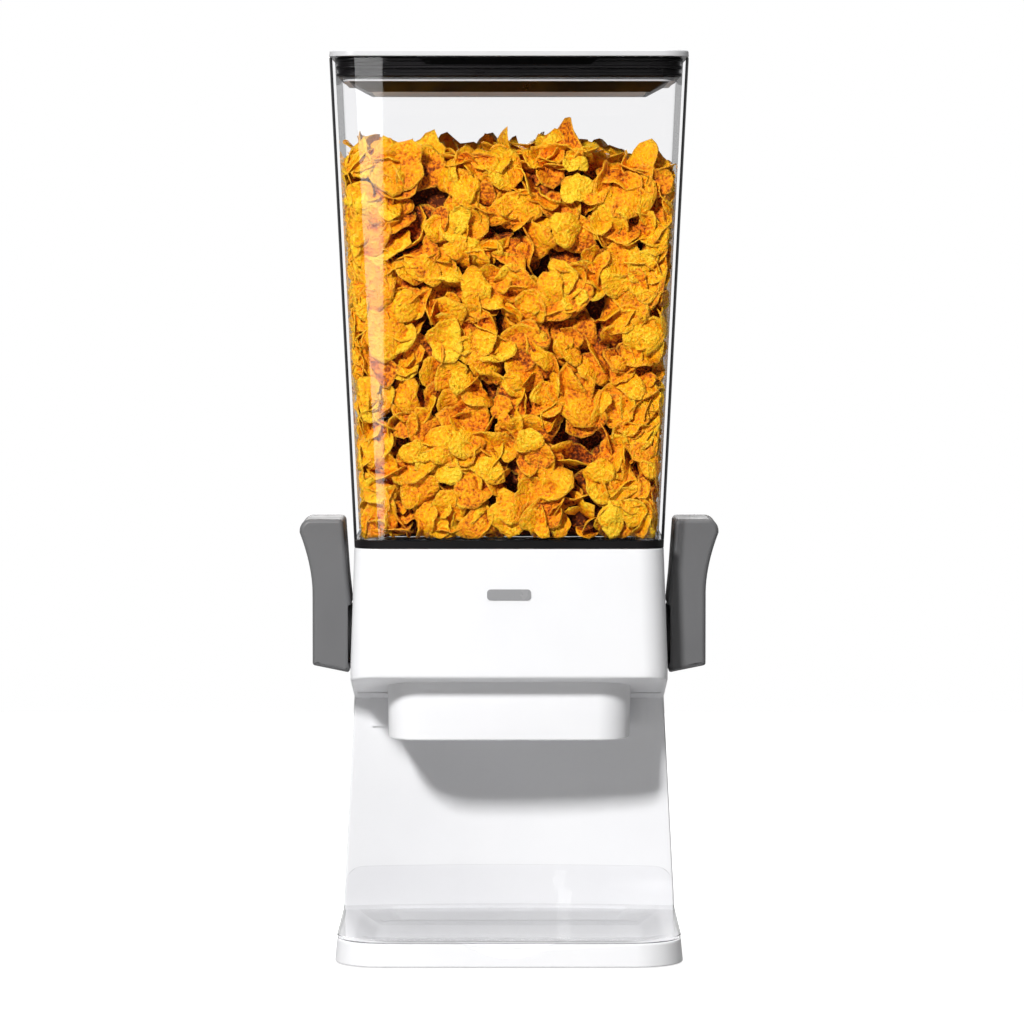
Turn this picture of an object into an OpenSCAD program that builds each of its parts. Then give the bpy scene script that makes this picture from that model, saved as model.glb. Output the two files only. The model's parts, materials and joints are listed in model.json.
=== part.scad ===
// Countertop cereal dispenser: a C-shaped stand carries a clear container with a push-button lid.
// A vaned rotor under the container is turned by a handle on each side and drops a measured portion
// through the chute into a bowl that stands on the lift-out tray.
// Millimetres. Origin at the centre of the footprint on the table, +Z up, front towards -Y.

/* [Base] */
// Width of the base at the table
base_w = 188; // [182:1:200]
// Depth of the base, front to back
base_d = 190; // [186:1:200]
// Height of the base shell above the table
base_h = 13; // [13:0.5:15]
// Corner radius of the base in plan
base_r = 26; // [20:1:32]
// Height of the rubber feet below the base
foot_h = 0.8; // [0.6:0.1:1.2]

/* [Column] */
// Width of the column where it meets the base
column_foot_w = 186.4; // [184:0.1:188]
// Distance from the middle of the base back to the front face of the column
column_front = 50; // [48:1:54]
// How far the middle of the column face is hollowed behind its sides
column_sag = 10; // [6:1:12]

/* [Head] */
// Width of the head where the container stands on it
head_w = 169.2; // [168:0.1:171]
// Width of the head along its lower edge
head_foot_w = 173.8; // [173:0.1:176]
// Depth of the head
head_d = 112; // [110:1:116]
// Height of the top of the head above the table
head_top = 221.5; // [220:0.5:224]
// Height of the front lower edge of the head
head_bottom = 151; // [149:0.5:153]
// How steeply the underside falls towards the column, in degrees
underside_fall = 13; // [11:0.5:14]

/* [Rotor] */
// Height of the handle shaft above the table
pivot_z = 172; // [171:0.5:173]
// Radius of the tips of the vanes
vane_tip_r = 33.8; // [32:0.1:34]

/* [Chute] */
// Width of the chute where it leaves the head
chute_w = 134.6; // [133:0.1:136]
// Height of the chute outlet above the table
chute_bottom = 115; // [112:1:118]

/* [Handles] */
// Overall width over both handles
handles_w = 231; // [229:1:235]
// Height of the top of the handles above the table
handle_top = 236; // [232:1:240]
// Height of the lower edge of the handles above the table
handle_bottom = 151; // [150:1:154]
// Width of a handle, front to back
handle_d = 48; // [44:1:52]

/* [Container] */
// Width of the container at its rim
rim_w = 195; // [192:1:198]
// Depth of the container at its rim
rim_d = 130; // [128:1:134]
// Height of the clear container
container_h = 266.7; // [240:0.1:270]
// Wall thickness of the container
container_wall = 3; // [2.5:0.1:3.2]

/* [Lid] */
// Thickness of the white plate of the lid
lid_plate_t = 3.5; // [3:0.1:4]
// Radius of the push button
button_r = 31; // [28:0.5:33]

/* [Tray] */
// Height of the tray's guard above the table
guard_top = 37.6; // [34:0.1:42]

/* [Hidden] */

$fn = 64;
// Facets round a corner of a lofted shell
loft_fn = 32;
// Number of flexible vanes, one node each
vane_count = 6;
// Thickness of the section discs that a loft is stretched between
skin = 0.01;
// Overshoot of a cutting shape
over = 1;
// Wall thickness of the moulded stand parts
wall = 2.5;

white = [0.97, 0.97, 0.98];
pale_grey = [0.85, 0.86, 0.87];
mid_grey = [0.55, 0.55, 0.56];
dark_grey = [0.12, 0.11, 0.12];
steel = [0.75, 0.76, 0.78];
clear = [0.85, 0.92, 0.96, 0.35];

base_front = -base_d / 2;
base_back = base_d / 2;
base_draft = 2.4;
head_front = -38;
head_back = head_front + head_d;
head_r = 14;
column_foot_r = 24;
centre_y = (head_front + head_back) / 2;
neck_z = head_bottom - (column_front - column_sag - head_front) * tan(underside_fall);
panel_r = (pow(column_foot_w / 2, 2) + pow(column_sag, 2)) / (2 * column_sag);
column_back_foot = base_back - 4;

container_z = head_top + 0.3;
rim_z = container_z + container_h;
collar_h = 4;
floor_z = container_z + 4.5;
floor_t = 2.8;
outlet_w = 140;
outlet_d = 60;
spigot_z = container_z - 9;
// Outside of the outlet spigot under the container
outlet_section = [outlet_w, centre_y - outlet_d / 2, centre_y + outlet_d / 2, 5, spigot_z];

chamber_r = vane_tip_r + 0.7;
chamber_wall = 3;
chamber_half = 60;
inlet_d = 44;
outlet_slot_d = 50;
shaft_r = 5;
shaft_square = 7;
bush_r = 8;
running_gap = 0.05;
// Gap round a part that is pushed into place and stays there
fit_gap = 0.06;
hub_r = 10;
vane_t = 2.2;
vane_foot_r = 8.2;

chute_front = -20;
chute_back = column_front - 7;
chute_r = 18;
chute_flange_half = 77;

handle_out = handles_w / 2;
handle_low_out = handle_out - 7;
handle_gap = 1.2;
handle_front = centre_y - handle_d / 2;

lid_z = rim_z;
gasket_bottom = lid_z - 11.2;
flange_t = 2;
skirt_bottom = gasket_bottom - flange_t - 5.4;

tray_rim_top = base_h + 2.8;
tray_rim_t = 2.3;
tray_t = 2;
dish_floor_z = tray_rim_top - 5.5;
tray_front = base_front + 1;

// ---------------------------------------------------------------- helpers

// A section of a loft is [width, front y, back y, corner radius, height].
module section_disc(s) {
    for (x = [-1, 1])
        for (y = [s[1] + s[3], s[2] - s[3]])
            translate([x * (s[0] / 2 - s[3]), y, s[4]])
                cylinder(r = s[3], h = skin, $fn = loft_fn);
}

// Solid stretched between a lower and an upper section.
module loft(low, high) {
    hull() {
        section_disc(low);
        section_disc([high[0], high[1], high[2], high[3], high[4] - skin]);
    }
}

// Rounded rectangle between two depths.
module rounded(w, y0, y1, r) {
    translate([-w / 2 + r, y0])
        square([w - 2 * r, y1 - y0]);
    translate([-w / 2, y0 + r])
        square([w, y1 - y0 - 2 * r]);
    for (x = [-1, 1])
        for (y = [y0 + r, y1 - r])
            translate([x * (w / 2 - r), y])
                circle(r = r);
}

// Straight-sided rounded plate between two heights.
module plate(w, y0, y1, r, z0, z1) {
    translate([0, 0, z0])
        linear_extrude(z1 - z0)
            rounded(w, y0, y1, r);
}

// Straight-sided plate between two heights with the outline of a section.
module slab(s, z0, z1) {
    plate(s[0], s[1], s[2], s[3], z0, z1);
}

// Round bar along X between two x positions.
module bar_x(r, x0, x1) {
    translate([x0, 0, 0])
        rotate([0, 90, 0])
            cylinder(r = r, h = x1 - x0);
}

// Moves a child that is drawn about the X axis to the handle shaft.
module at_pivot() {
    translate([0, centre_y, pivot_z])
        children();
}

// Section with its sides moved in by d and its height replaced by z.
function inset(s, d, z) = [s[0] - 2 * d, s[1] + d, s[2] - d, max(s[3] - d, 1), z];

// Value between a and b for t from 0 to 1.
function mix(a, b, t) = a + (b - a) * t;

// Outer section of the container at a height.
function container_section(z) =
    let (t = (z - container_z) / container_h)
    let (d = mix(head_d, rim_d, t))
    [mix(head_w, rim_w, t), centre_y - d / 2, centre_y + d / 2, head_r, z];

// Inner section of the container at a height, less a further clearance.
function bore_section(z, clearance) = inset(container_section(z), container_wall + clearance, z);

// Pan head screw pointing along -Z, its head's underside at z = 0.
module screw(head_r, head_h, shank_r, shank_l) {
    difference() {
        cylinder(r = head_r, h = head_h);
        for (turn = [0, 90])
            rotate([0, 0, turn])
                translate([-head_r * 0.6, -0.4, head_h * 0.5])
                    cube([head_r * 1.2, 0.8, head_h]);
    }
    translate([0, 0, -shank_l])
        cylinder(r = shank_r, h = shank_l + skin);
}

// ---------------------------------------------------------------- base

base_foot_section = [base_w, base_front, base_back, base_r, foot_h];
base_top_section = inset(base_foot_section, base_draft / 2, base_h);
dish_top = [base_w - 16, tray_front + 8, column_front - column_sag - 4, 22, tray_rim_top];
dish_floor = [base_w - 46, dish_top[1] + 14, dish_top[2] - 16, 12, dish_floor_z];

// Dish of the tray grown outwards by d, its floor lowered by drop and its rim raised by rise.
module dish(d, drop, rise) {
    loft(inset(dish_floor, -d, dish_floor_z - drop), inset(dish_top, -d, tray_rim_top + rise));
}

notch_half = 27;
notch_depth = 8;
slot_depth = 3.2;
slot_end = base_front + 9.5;

// Finger notch under the front edge of the tray, grown by d: a ramp in the front wall and a slot behind it.
module finger_notch(d) {
    ramp_r = notch_half * notch_half * sqrt(2) / (2 * notch_depth);
    slot_r = (pow(notch_half, 2) + pow(slot_depth, 2)) / (2 * slot_depth);
    intersection() {
        translate([0, base_front, base_h - notch_depth])
            rotate([-45, 0, 0])
                translate([0, -ramp_r, -notch_depth])
                    cylinder(r = ramp_r + d, h = 4 * notch_depth, $fn = 180);
        translate([-base_w / 2, base_front - over, 0])
            cube([base_w, notch_depth - slot_depth + over + d, base_h + over]);
    }
    translate([0, base_front - over, base_h - slot_depth + slot_r])
        rotate([-90, 0, 0])
            cylinder(r = slot_r + d, h = slot_end - base_front + over + d, $fn = 180);
}

module base_shell() {
    color(white)
    difference() {
        loft(base_foot_section, base_top_section);
        dish(tray_t + 0.6, tray_t + 0.05, skin);
        difference() {
            loft(inset(base_foot_section, wall, foot_h - over), inset(base_top_section, wall, base_h - wall));
            dish(tray_t + 2.4, tray_t + 2, skin);
            finger_notch(1.6);
        }
        finger_notch(0);
    }
}

cover_section = inset(base_foot_section, wall + 0.5, foot_h);
base_screw_x = base_w / 2 - 11;
base_screw_rows = [base_front + 30, 0, base_back - 30];
base_screw_places = [for (x = [-base_screw_x, base_screw_x]) for (y = base_screw_rows) [x, y]];
foot_x = base_w / 2 - 26;
foot_front_y = base_front + 22;
foot_rear_y = base_back - 22;
foot_r = 8;
foot_recess = 1;
cover_t = 2;

module base_cover() {
    color(pale_grey)
    difference() {
        slab(cover_section, foot_h, foot_h + cover_t);
        for (p = base_screw_places)
            translate([p[0], p[1], foot_h - over])
                cylinder(r = 1.7, h = cover_t + 2 * over);
        for (x = [-foot_x, foot_x])
            for (y = [foot_front_y, foot_rear_y])
                translate([x, y, foot_h - over])
                    cylinder(r = foot_r, h = foot_recess + over);
    }
}

module base_screws() {
    color(steel)
        for (p = base_screw_places)
            translate([p[0], p[1], foot_h])
                mirror([0, 0, 1])
                    screw(3, 0.6, 1.6, 4);
}

module foot(x, y) {
    color(dark_grey)
        translate([x, y, 0])
            cylinder(r = foot_r - 0.1, h = foot_h + foot_recess - 0.1);
}

// ---------------------------------------------------------------- column

column_inner_y = column_front - column_sag - 30;
column_foot = [column_foot_w, column_inner_y, column_back_foot, column_foot_r, base_h];
column_top = [head_foot_w, column_inner_y, head_back, head_r, neck_z];

// Everything in front of the hollowed face of the column, moved back by d.
module in_front_of_column(d) {
    translate([0, column_front + d - panel_r, -over])
        cylinder(r = panel_r, h = head_top + 2 * over, $fn = 200);
}

// Everything above the sloping underside of the head.
module above_underside() {
    translate([-base_w, head_front, head_bottom])
        rotate([-underside_fall, 0, 0])
            translate([0, -50, 0])
                cube([2 * base_w, 2 * base_d, base_d]);
}

cover_slope = atan((column_back_foot - head_back) / (neck_z - base_h));
column_cover_w = 132;
column_cover_h = 96;

// Frame lying in the sloping rear face of the column, with its origin low on the face.
module on_column_back() {
    translate([0, column_back_foot, base_h])
        rotate([cover_slope, 0, 0])
            children();
}

module column_shell() {
    color(white)
    difference() {
        loft(column_foot, column_top);
        in_front_of_column(0);
        difference() {
            loft(inset(column_foot, wall, base_h - over), inset(column_top, wall, neck_z - wall));
            in_front_of_column(wall);
        }
        on_column_back()
            translate([-column_cover_w / 2, -wall - over, 12])
                cube([column_cover_w, wall + 2 * over, column_cover_h]);
    }
}

module column_cover() {
    color(white)
        on_column_back()
            translate([0, -wall, 12])
                difference() {
                    translate([-column_cover_w / 2 + 0.3, 0, 0.3])
                        cube([column_cover_w - 0.6, wall - 0.3, column_cover_h - 0.6]);
                    for (x = [-1, 1])
                        for (z = [8, column_cover_h - 8])
                            translate([x * (column_cover_w / 2 - 8), -over, z])
                                rotate([-90, 0, 0])
                                    cylinder(r = 1.8, h = wall + 2 * over);
                    for (i = [0 : 7])
                        translate([-40, -over, 36 + i * 6])
                            cube([80, wall + 2 * over, 2]);
                }
}

// ---------------------------------------------------------------- head

head_low = [head_foot_w, head_front, head_back, head_r, neck_z];
head_edge = [head_foot_w, head_front, head_back, head_r, head_bottom];
head_high = [head_w, head_front, head_back, head_r, head_top];
head_cover_w = 132;
head_cover_h = 46;
head_cover_z = 162;

module head_shell() {
    color(white)
    difference() {
        union() {
            loft(head_edge, head_high);
            intersection() {
                loft(head_low, head_edge);
                above_underside();
            }
        }
        // hollow, open along the sloping underside
        loft(inset(head_low, wall, neck_z - over), inset(head_high, wall, head_top - wall));
        // the funnel drops through the deck
        slab(inset(outlet_section, -3, 0), head_top - wall - over, head_top + over);
        at_pivot()
            bar_x(bush_r + fit_gap, -base_w / 2, base_w / 2);
        translate([-head_cover_w / 2, head_back - wall - over, head_cover_z])
            cube([head_cover_w, wall + 2 * over, head_cover_h]);
    }
}

module head_cover() {
    color(white)
        translate([0, head_back - wall, head_cover_z])
            difference() {
                translate([-head_cover_w / 2 + 0.3, 0, 0.3])
                    cube([head_cover_w - 0.6, wall - 0.3, head_cover_h - 0.6]);
                for (x = [-1, 1])
                    for (z = [7, head_cover_h - 7])
                        translate([x * (head_cover_w / 2 - 7), -over, z])
                            rotate([-90, 0, 0])
                                cylinder(r = 1.8, h = wall + 2 * over);
            }
}

module cover_screws() {
    color(steel) {
        on_column_back()
            for (x = [-1, 1])
                for (z = [20, column_cover_h + 4])
                    translate([x * (column_cover_w / 2 - 8), -0.3, z])
                        rotate([-90, 0, 0])
                            screw(3, 1.2, 1.6, 6);
        for (x = [-1, 1])
            for (z = [7, head_cover_h - 7])
                translate([x * (head_cover_w / 2 - 7), head_back - 0.3, head_cover_z + z])
                    rotate([-90, 0, 0])
                        screw(3, 1.2, 1.6, 6);
    }
}

module underside_plate() {
    front = head_front + wall + 0.2;
    length = (column_front - column_sag - wall - front) / cos(underside_fall);
    end = chamber_half + chamber_wall + 1;
    color(white)
    difference() {
        translate([0, head_front, head_bottom])
            rotate([-underside_fall, 0, 0])
                translate([0, wall + 0.4, 0.2])
                    linear_extrude(wall)
                        rounded(head_foot_w - 2 * wall - 2, 0, length, head_r - 1);
        chute_outer(0.1);
        at_pivot()
            bar_x(chamber_r + chamber_wall + 0.2, -end, end);
    }
}

module badge() {
    badge_w = 24;
    badge_h = 6;
    badge_z = 196.5;
    color(mid_grey)
        translate([0, head_front, badge_z])
            rotate([90, 0, 0])
                linear_extrude(0.4)
                    translate([0, -badge_h / 2])
                        rounded(badge_w, 0, badge_h, 2);
}

// ---------------------------------------------------------------- metering

module funnel() {
    mouth_z = spigot_z - 1;
    mouth = inset(outlet_section, -2.5, mouth_z);
    throat_z = pivot_z + sqrt(pow(chamber_r + chamber_wall, 2) - pow(inlet_d / 2, 2)) - 1;
    throat = [2 * chamber_half, centre_y - inlet_d / 2, centre_y + inlet_d / 2, 4, throat_z];
    opening = inset(mouth, 1.5, mouth_z);
    color(pale_grey)
    difference() {
        union() {
            loft(inset(throat, -2, throat_z), mouth);
            slab(mouth, mouth_z - 0.5, head_top - 0.4);
        }
        loft(inset(throat, 0, throat_z - skin), opening);
        slab(opening, mouth_z - 0.5, head_top + over);
        at_pivot()
            bar_x(chamber_r + chamber_wall, -base_w / 2, base_w / 2);
    }
}

module rotor_chamber() {
    end = chamber_half + chamber_wall;
    color(pale_grey)
        at_pivot()
            difference() {
                bar_x(chamber_r + chamber_wall, -end, end);
                bar_x(chamber_r, -chamber_half, chamber_half);
                bar_x(bush_r + fit_gap, -end - over, end + over);
                translate([-chamber_half, -inlet_d / 2, 0])
                    cube([2 * chamber_half, inlet_d, chamber_r + chamber_wall + over]);
                translate([-chamber_half, -outlet_slot_d / 2, -chamber_r - chamber_wall - over])
                    cube([2 * chamber_half, outlet_slot_d, chamber_r + chamber_wall]);
            }
}

// Outside of the chute, grown by d.
module chute_outer(d) {
    low = [chute_w - 1.8, chute_front, chute_back + 3, chute_r, chute_bottom];
    high = [chute_w, chute_front, chute_back + 3, chute_r, head_bottom];
    loft(inset(low, -d, chute_bottom), inset(high, -d, head_bottom));
}

module chute() {
    inner = [chute_w - 2 * wall - 2, chute_front + wall, chute_back - wall, chute_r - wall, chute_bottom];
    color(white)
    difference() {
        union() {
            chute_outer(0);
            translate([-chute_flange_half, chute_back, chute_bottom - 0.5])
                cube([2 * chute_flange_half, 8, neck_z - chute_bottom + 0.5]);
        }
        slab(inner, chute_bottom - over, head_bottom + over);
        difference() {
            translate([-base_w, chute_back - 12, 0])
                cube([2 * base_w, base_d, head_top]);
            in_front_of_column(-0.05);
        }
        at_pivot()
            bar_x(chamber_r + chamber_wall + fit_gap, -base_w / 2, base_w / 2);
    }
}

// Bearing bush through the chamber end and the side of the head, on the side of sign s.
module bush(s) {
    inner_x = chamber_half + 0.3;
    outer_x = head_foot_w / 2 - 0.8;
    color(dark_grey)
        at_pivot()
            mirror([s < 0 ? 1 : 0, 0, 0])
                difference() {
                    union() {
                        bar_x(bush_r, inner_x, outer_x);
                        bar_x(bush_r + 3, chamber_half + chamber_wall, chamber_half + chamber_wall + 2);
                    }
                    bar_x(shaft_r + running_gap, inner_x - over, outer_x + over);
                }
}

// ---------------------------------------------------------------- rotor

module shaft() {
    round_half = head_foot_w / 2 + 1;
    square_half = handle_out - 14;
    color(steel)
        at_pivot()
            difference() {
                union() {
                    bar_x(shaft_r, -round_half, round_half);
                    translate([-square_half, -shaft_square / 2, -shaft_square / 2])
                        cube([2 * square_half, shaft_square, shaft_square]);
                }
                for (s = [-1, 1])
                    mirror([s < 0 ? 1 : 0, 0, 0])
                        bar_x(1.6, square_half - 12, square_half + over);
            }
}

module rotor_hub() {
    hub_half = chamber_half - 0.8;
    color(pale_grey)
        at_pivot()
            difference() {
                bar_x(hub_r, -hub_half, hub_half);
                bar_x(shaft_r, -hub_half - over, hub_half + over);
                for (i = [0 : vane_count - 1])
                    rotate([i * 360 / vane_count, 0, 0])
                        vane_blank(hub_half + over, 0);
            }
}

// Vane with its foot, lying along +Y from the shaft.
module vane_blank(half, d) {
    translate([-half, vane_foot_r - 1, -vane_t / 2 - d])
        cube([2 * half, vane_tip_r - vane_foot_r + 1, vane_t + 2 * d]);
    translate([0, vane_foot_r, 0])
        bar_x(1.6 + d, -half, half);
}

module vane(i) {
    color(pale_grey)
        at_pivot()
            rotate([(i - 1) * 360 / vane_count, 0, 0])
                vane_blank(chamber_half - 1, 0);
}

// ---------------------------------------------------------------- handles

// Points of an arc round a centre, from angle a0 to angle a1.
function arc(centre, r, a0, a1) =
    [for (i = [0 : 6]) let (a = mix(a0, a1, i / 6)) centre + r * [cos(a), sin(a)]];

// Front outline of the right handle, x outwards from the middle of the stand.
module handle_outline() {
    foot_in = head_foot_w / 2 + handle_gap;
    waist_in = foot_in - 0.6;
    recess_in = foot_in + 1.8;
    top_in = foot_in + 2.7;
    corner = 6.5;
    grip_top = handle_top - corner - 1;
    grip_h = 33;
    // the grip flares outwards towards its top
    flare = [for (i = [0 : 8])
        let (out = mix(handle_low_out, handle_out, pow(1 - i / 8, 1.8)))
        [out, grip_top - grip_h * i / 8]];
    polygon(concat(
        [[foot_in, handle_bottom], [foot_in, pivot_z - 16.5], [recess_in, pivot_z - 15.5]],
        [[recess_in, pivot_z + 16], [waist_in, pivot_z + 18.5], [waist_in + 1.6, pivot_z + 33]],
        [[top_in, handle_top - 1.5], [top_in + 1.5, handle_top]],
        arc([handle_out - corner, handle_top - corner], corner, 90, 0),
        flare,
        arc([handle_low_out - 5, handle_bottom + 8.6], 5, 0, -75)
    ));
}

// Side outline of a handle.
module handle_side() {
    corner = 4;
    translate([centre_y, 0])
        rounded(handle_d, handle_bottom, handle_top, corner);
}

// Right handle before it is hollowed.
module handle_solid() {
    intersection() {
        translate([0, handle_front + handle_d, 0])
            rotate([90, 0, 0])
                linear_extrude(handle_d)
                    handle_outline();
        rotate([90, 0, 90])
            linear_extrude(handle_out + over)
                handle_side();
    }
}

// Hollow of the handle, open towards the head.
module handle_hollow() {
    depth = 3;
    hollow_out = handle_low_out - 3.5;
    difference() {
        translate([head_foot_w / 2 - 2, handle_front + depth, handle_bottom + 8])
            cube([hollow_out - head_foot_w / 2 + 2, handle_d - 2 * depth, handle_top - handle_bottom - 18]);
        at_pivot()
            bar_x(hub_r - 1, 0, handle_out);
    }
}

module handle(s) {
    mirror([s < 0 ? 1 : 0, 0, 0])
        color(mid_grey)
            difference() {
                union() {
                    handle_solid();
                    // round boss that bridges the recess towards the bush
                    at_pivot()
                        bar_x(6.5, head_foot_w / 2 + 0.4, head_foot_w / 2 + 5);
                }
                handle_hollow();
                at_pivot() {
                    translate([0, -shaft_square / 2, -shaft_square / 2])
                        cube([handle_out - 14, shaft_square, shaft_square]);
                    bar_x(shaft_r, 0, head_foot_w / 2 + 1);
                    bar_x(1.7, 0, handle_out);
                    bar_x(9, handle_low_out - 2.2, handle_out);
                    bar_x(3.6, handle_low_out - 5.5, handle_out);
                }
            }
}

// Plate that closes the hollow of a handle behind its hub.
module handle_plate(s) {
    depth = 3.1;
    mirror([s < 0 ? 1 : 0, 0, 0])
        color(mid_grey)
            difference() {
                intersection() {
                    translate([head_foot_w / 2 + 4.5, handle_front + depth, handle_bottom + 8.1])
                        cube([1.8, handle_d - 2 * depth, handle_top - handle_bottom - 18.2]);
                    handle_solid();
                }
                at_pivot()
                    bar_x(hub_r - 0.9, 0, handle_out);
            }
}

module handle_cap(s) {
    mirror([s < 0 ? 1 : 0, 0, 0])
        color(mid_grey)
            at_pivot()
                bar_x(8.9, handle_low_out - 2, handle_low_out - 0.2);
}

module handle_screw(s) {
    head_x = handle_low_out - 5.4;
    mirror([s < 0 ? 1 : 0, 0, 0])
        color(steel)
            at_pivot()
                translate([head_x, 0, 0])
                    rotate([0, 90, 0])
                        screw(3.4, 2.4, 1.5, 12);
}

// ---------------------------------------------------------------- container

seal_t = 3.2;
seal_inside = inset(container_section(container_z), seal_t, container_z);

module container() {
    color(clear)
    difference() {
        union() {
            loft(container_section(container_z), container_section(rim_z));
            slab(outlet_section, spigot_z, floor_z);
        }
        loft(bore_section(floor_z, 0), bore_section(rim_z + skin, 0));
        slab(inset(outlet_section, 2.5, 0), spigot_z - over, floor_z + over);
        // space for the seal and the hollow under the floor
        difference() {
            translate([-base_w / 2, -base_d / 2, container_z - over])
                cube([base_w, base_d, floor_z - floor_t - container_z + over]);
            slab(outlet_section, spigot_z, floor_z);
        }
        difference() {
            translate([-base_w / 2, -base_d / 2, container_z - over])
                cube([base_w, base_d, collar_h + over]);
            slab(seal_inside, spigot_z, floor_z);
        }
    }
}

module container_seal() {
    color(dark_grey)
    difference() {
        loft(container_section(container_z), container_section(container_z + collar_h - 0.02));
        slab(inset(seal_inside, -0.02, 0), container_z - over, container_z + collar_h + over);
    }
}

// ---------------------------------------------------------------- lid

lid_core_inset = 8;
// Radius of the finger dish in the button
dish_r = 300;
well_floor = gasket_bottom - flange_t + 1.6;

// Straight part of the lid under its plate, d inside the container bore.
module lid_block(d, z0, z1) {
    slab(bore_section(z0, d), z0, z1);
}

module lid_plate() {
    rim = container_section(rim_z);
    color(white)
    difference() {
        loft(inset(rim, 0, lid_z + 0.1), inset(rim, 0.3, lid_z + lid_plate_t));
        translate([0, centre_y, lid_z - over])
            cylinder(r = button_r + 0.4, h = lid_plate_t + 2 * over);
    }
}

// Cylinder on the axis of the button from a height up to above the lid.
module well_cylinder(r, z) {
    translate([0, centre_y, z])
        cylinder(r = r, h = lid_z + over - z);
}

module lid_body() {
    color(white)
    difference() {
        union() {
            lid_block(lid_core_inset, gasket_bottom - flange_t, lid_z + 0.1);
            lid_block(3.8, gasket_bottom - flange_t, gasket_bottom);
        }
        // hollow round the wall of the button well
        difference() {
            lid_block(lid_core_inset + wall, well_floor, lid_z + over);
            well_cylinder(button_r + 2.4, 0);
        }
        // button well round its guide tube
        difference() {
            well_cylinder(button_r + 0.4, well_floor);
            translate([0, centre_y, 0])
                cylinder(r = 13, h = lid_z + 0.7);
        }
        well_cylinder(11, well_floor);
    }
}

module lid_gasket() {
    rib = 1.2;
    color(dark_grey)
    difference() {
        union() {
            lid_block(0.3 + rib, gasket_bottom, lid_z - 0.1);
            for (z = [gasket_bottom + 0.4, gasket_bottom + 4.4, gasket_bottom + 8.6])
                lid_block(0.3, z, z + 2);
        }
        lid_block(lid_core_inset, gasket_bottom - over, lid_z + over);
    }
}

skirt_t = 1.8;
skirt_high = bore_section(gasket_bottom - flange_t, 7);
skirt_low = inset(skirt_high, 10, skirt_bottom);

module lid_skirt() {
    color(dark_grey)
    difference() {
        loft(skirt_low, skirt_high);
        loft(inset(skirt_low, skirt_t, skirt_bottom - skin),
             inset(skirt_high, skirt_t, skirt_high[4] + skin));
    }
}

module lid_liner() {
    color(white)
        loft(inset(skirt_low, skirt_t + 0.1, skirt_bottom), inset(skirt_low, skirt_t, skirt_bottom + 1.5));
}

cap_t = 2;

module button_cap() {
    side_t = 1.5;
    top = lid_z + lid_plate_t;
    bottom = well_floor + 2.6;
    color(white)
        translate([0, centre_y, 0])
            difference() {
                translate([0, 0, bottom])
                    cylinder(r = button_r, h = top - bottom);
                // shallow finger dish in the top
                translate([0, 0, top + dish_r - 0.9])
                    sphere(r = dish_r, $fn = 360);
                translate([0, 0, bottom - over])
                    cylinder(r = button_r - side_t, h = top - cap_t - bottom + over);
            }
}

module button_stem() {
    stem_r = 10.7;
    stem_wall = 2.1;
    bottom = well_floor + 2.2;
    top = lid_z + lid_plate_t - cap_t;
    color(pale_grey)
        translate([0, centre_y, bottom])
            difference() {
                cylinder(r = stem_r, h = top - bottom);
                translate([0, 0, -over])
                    cylinder(r = stem_r - stem_wall, h = top - bottom - 2 + over);
            }
}

// Corrugated silicone spring between the floor of the well and the button.
module button_bellows() {
    folds = 4;
    bellows_r = 6.8;
    fold_depth = 1.6;
    bellows_t = 0.7;
    bottom = well_floor + 0.05;
    pitch = (lid_z + lid_plate_t - 4.1 - bottom) / folds;
    outer = [for (i = [0 : 2 * folds]) [bellows_r - (i % 2) * fold_depth, bottom + i * pitch / 2]];
    inner = [for (i = [2 * folds : -1 : 0]) outer[i] - [bellows_t, 0]];
    color(dark_grey)
        translate([0, centre_y, 0])
            rotate_extrude()
                polygon(concat(outer, inner));
}

// ---------------------------------------------------------------- tray

tray_back = column_front - column_sag + 0.6;

module tray() {
    rim = [base_top_section[0], tray_front, tray_back + 30, base_r - 1, tray_rim_top];
    guard_w = base_w - 4;
    guard_r = 10;
    color(clear)
    difference() {
        union() {
            // flat rim
            intersection() {
                slab(rim, tray_rim_top - tray_rim_t, tray_rim_top);
                in_front_of_column(-0.6);
            }
            // curved guard along the column
            intersection() {
                difference() {
                    in_front_of_column(-0.6);
                    in_front_of_column(-2.8);
                }
                translate([0, base_back, 0])
                    rotate([90, 0, 0])
                        linear_extrude(base_back)
                            rounded(guard_w, tray_rim_top - 12, guard_top, guard_r);
                translate([-base_w / 2, 0, tray_rim_top - tray_rim_t])
                    cube([base_w, base_d, guard_top]);
            }
            dish(tray_t, tray_t, 0);
        }
        dish(0, 0, skin);
    }
}

// ---------------------------------------------------------------- assembly

base_shell();
base_cover();
base_screws();
foot(-foot_x, foot_front_y);  // foot_front_left
foot(foot_x, foot_front_y);  // foot_front_right
foot(-foot_x, foot_rear_y);  // foot_rear_left
foot(foot_x, foot_rear_y);  // foot_rear_right
column_shell();
column_cover();
head_shell();
head_cover();
cover_screws();
underside_plate();
badge();
funnel();
rotor_chamber();
chute();
bush(-1);  // bush_left
bush(1);  // bush_right
shaft();
rotor_hub();
vane(1);  // vane_1
vane(2);  // vane_2
vane(3);  // vane_3
vane(4);  // vane_4
vane(5);  // vane_5
vane(6);  // vane_6
handle(-1);  // handle_left
handle(1);  // handle_right
handle_plate(-1);  // handle_plate_left
handle_plate(1);  // handle_plate_right
handle_cap(-1);  // handle_cap_left
handle_cap(1);  // handle_cap_right
handle_screw(-1);  // handle_screw_left
handle_screw(1);  // handle_screw_right
container();
container_seal();
lid_plate();
lid_body();
lid_gasket();
lid_skirt();
lid_liner();
button_cap();
button_stem();
button_bellows();
tray();
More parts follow.
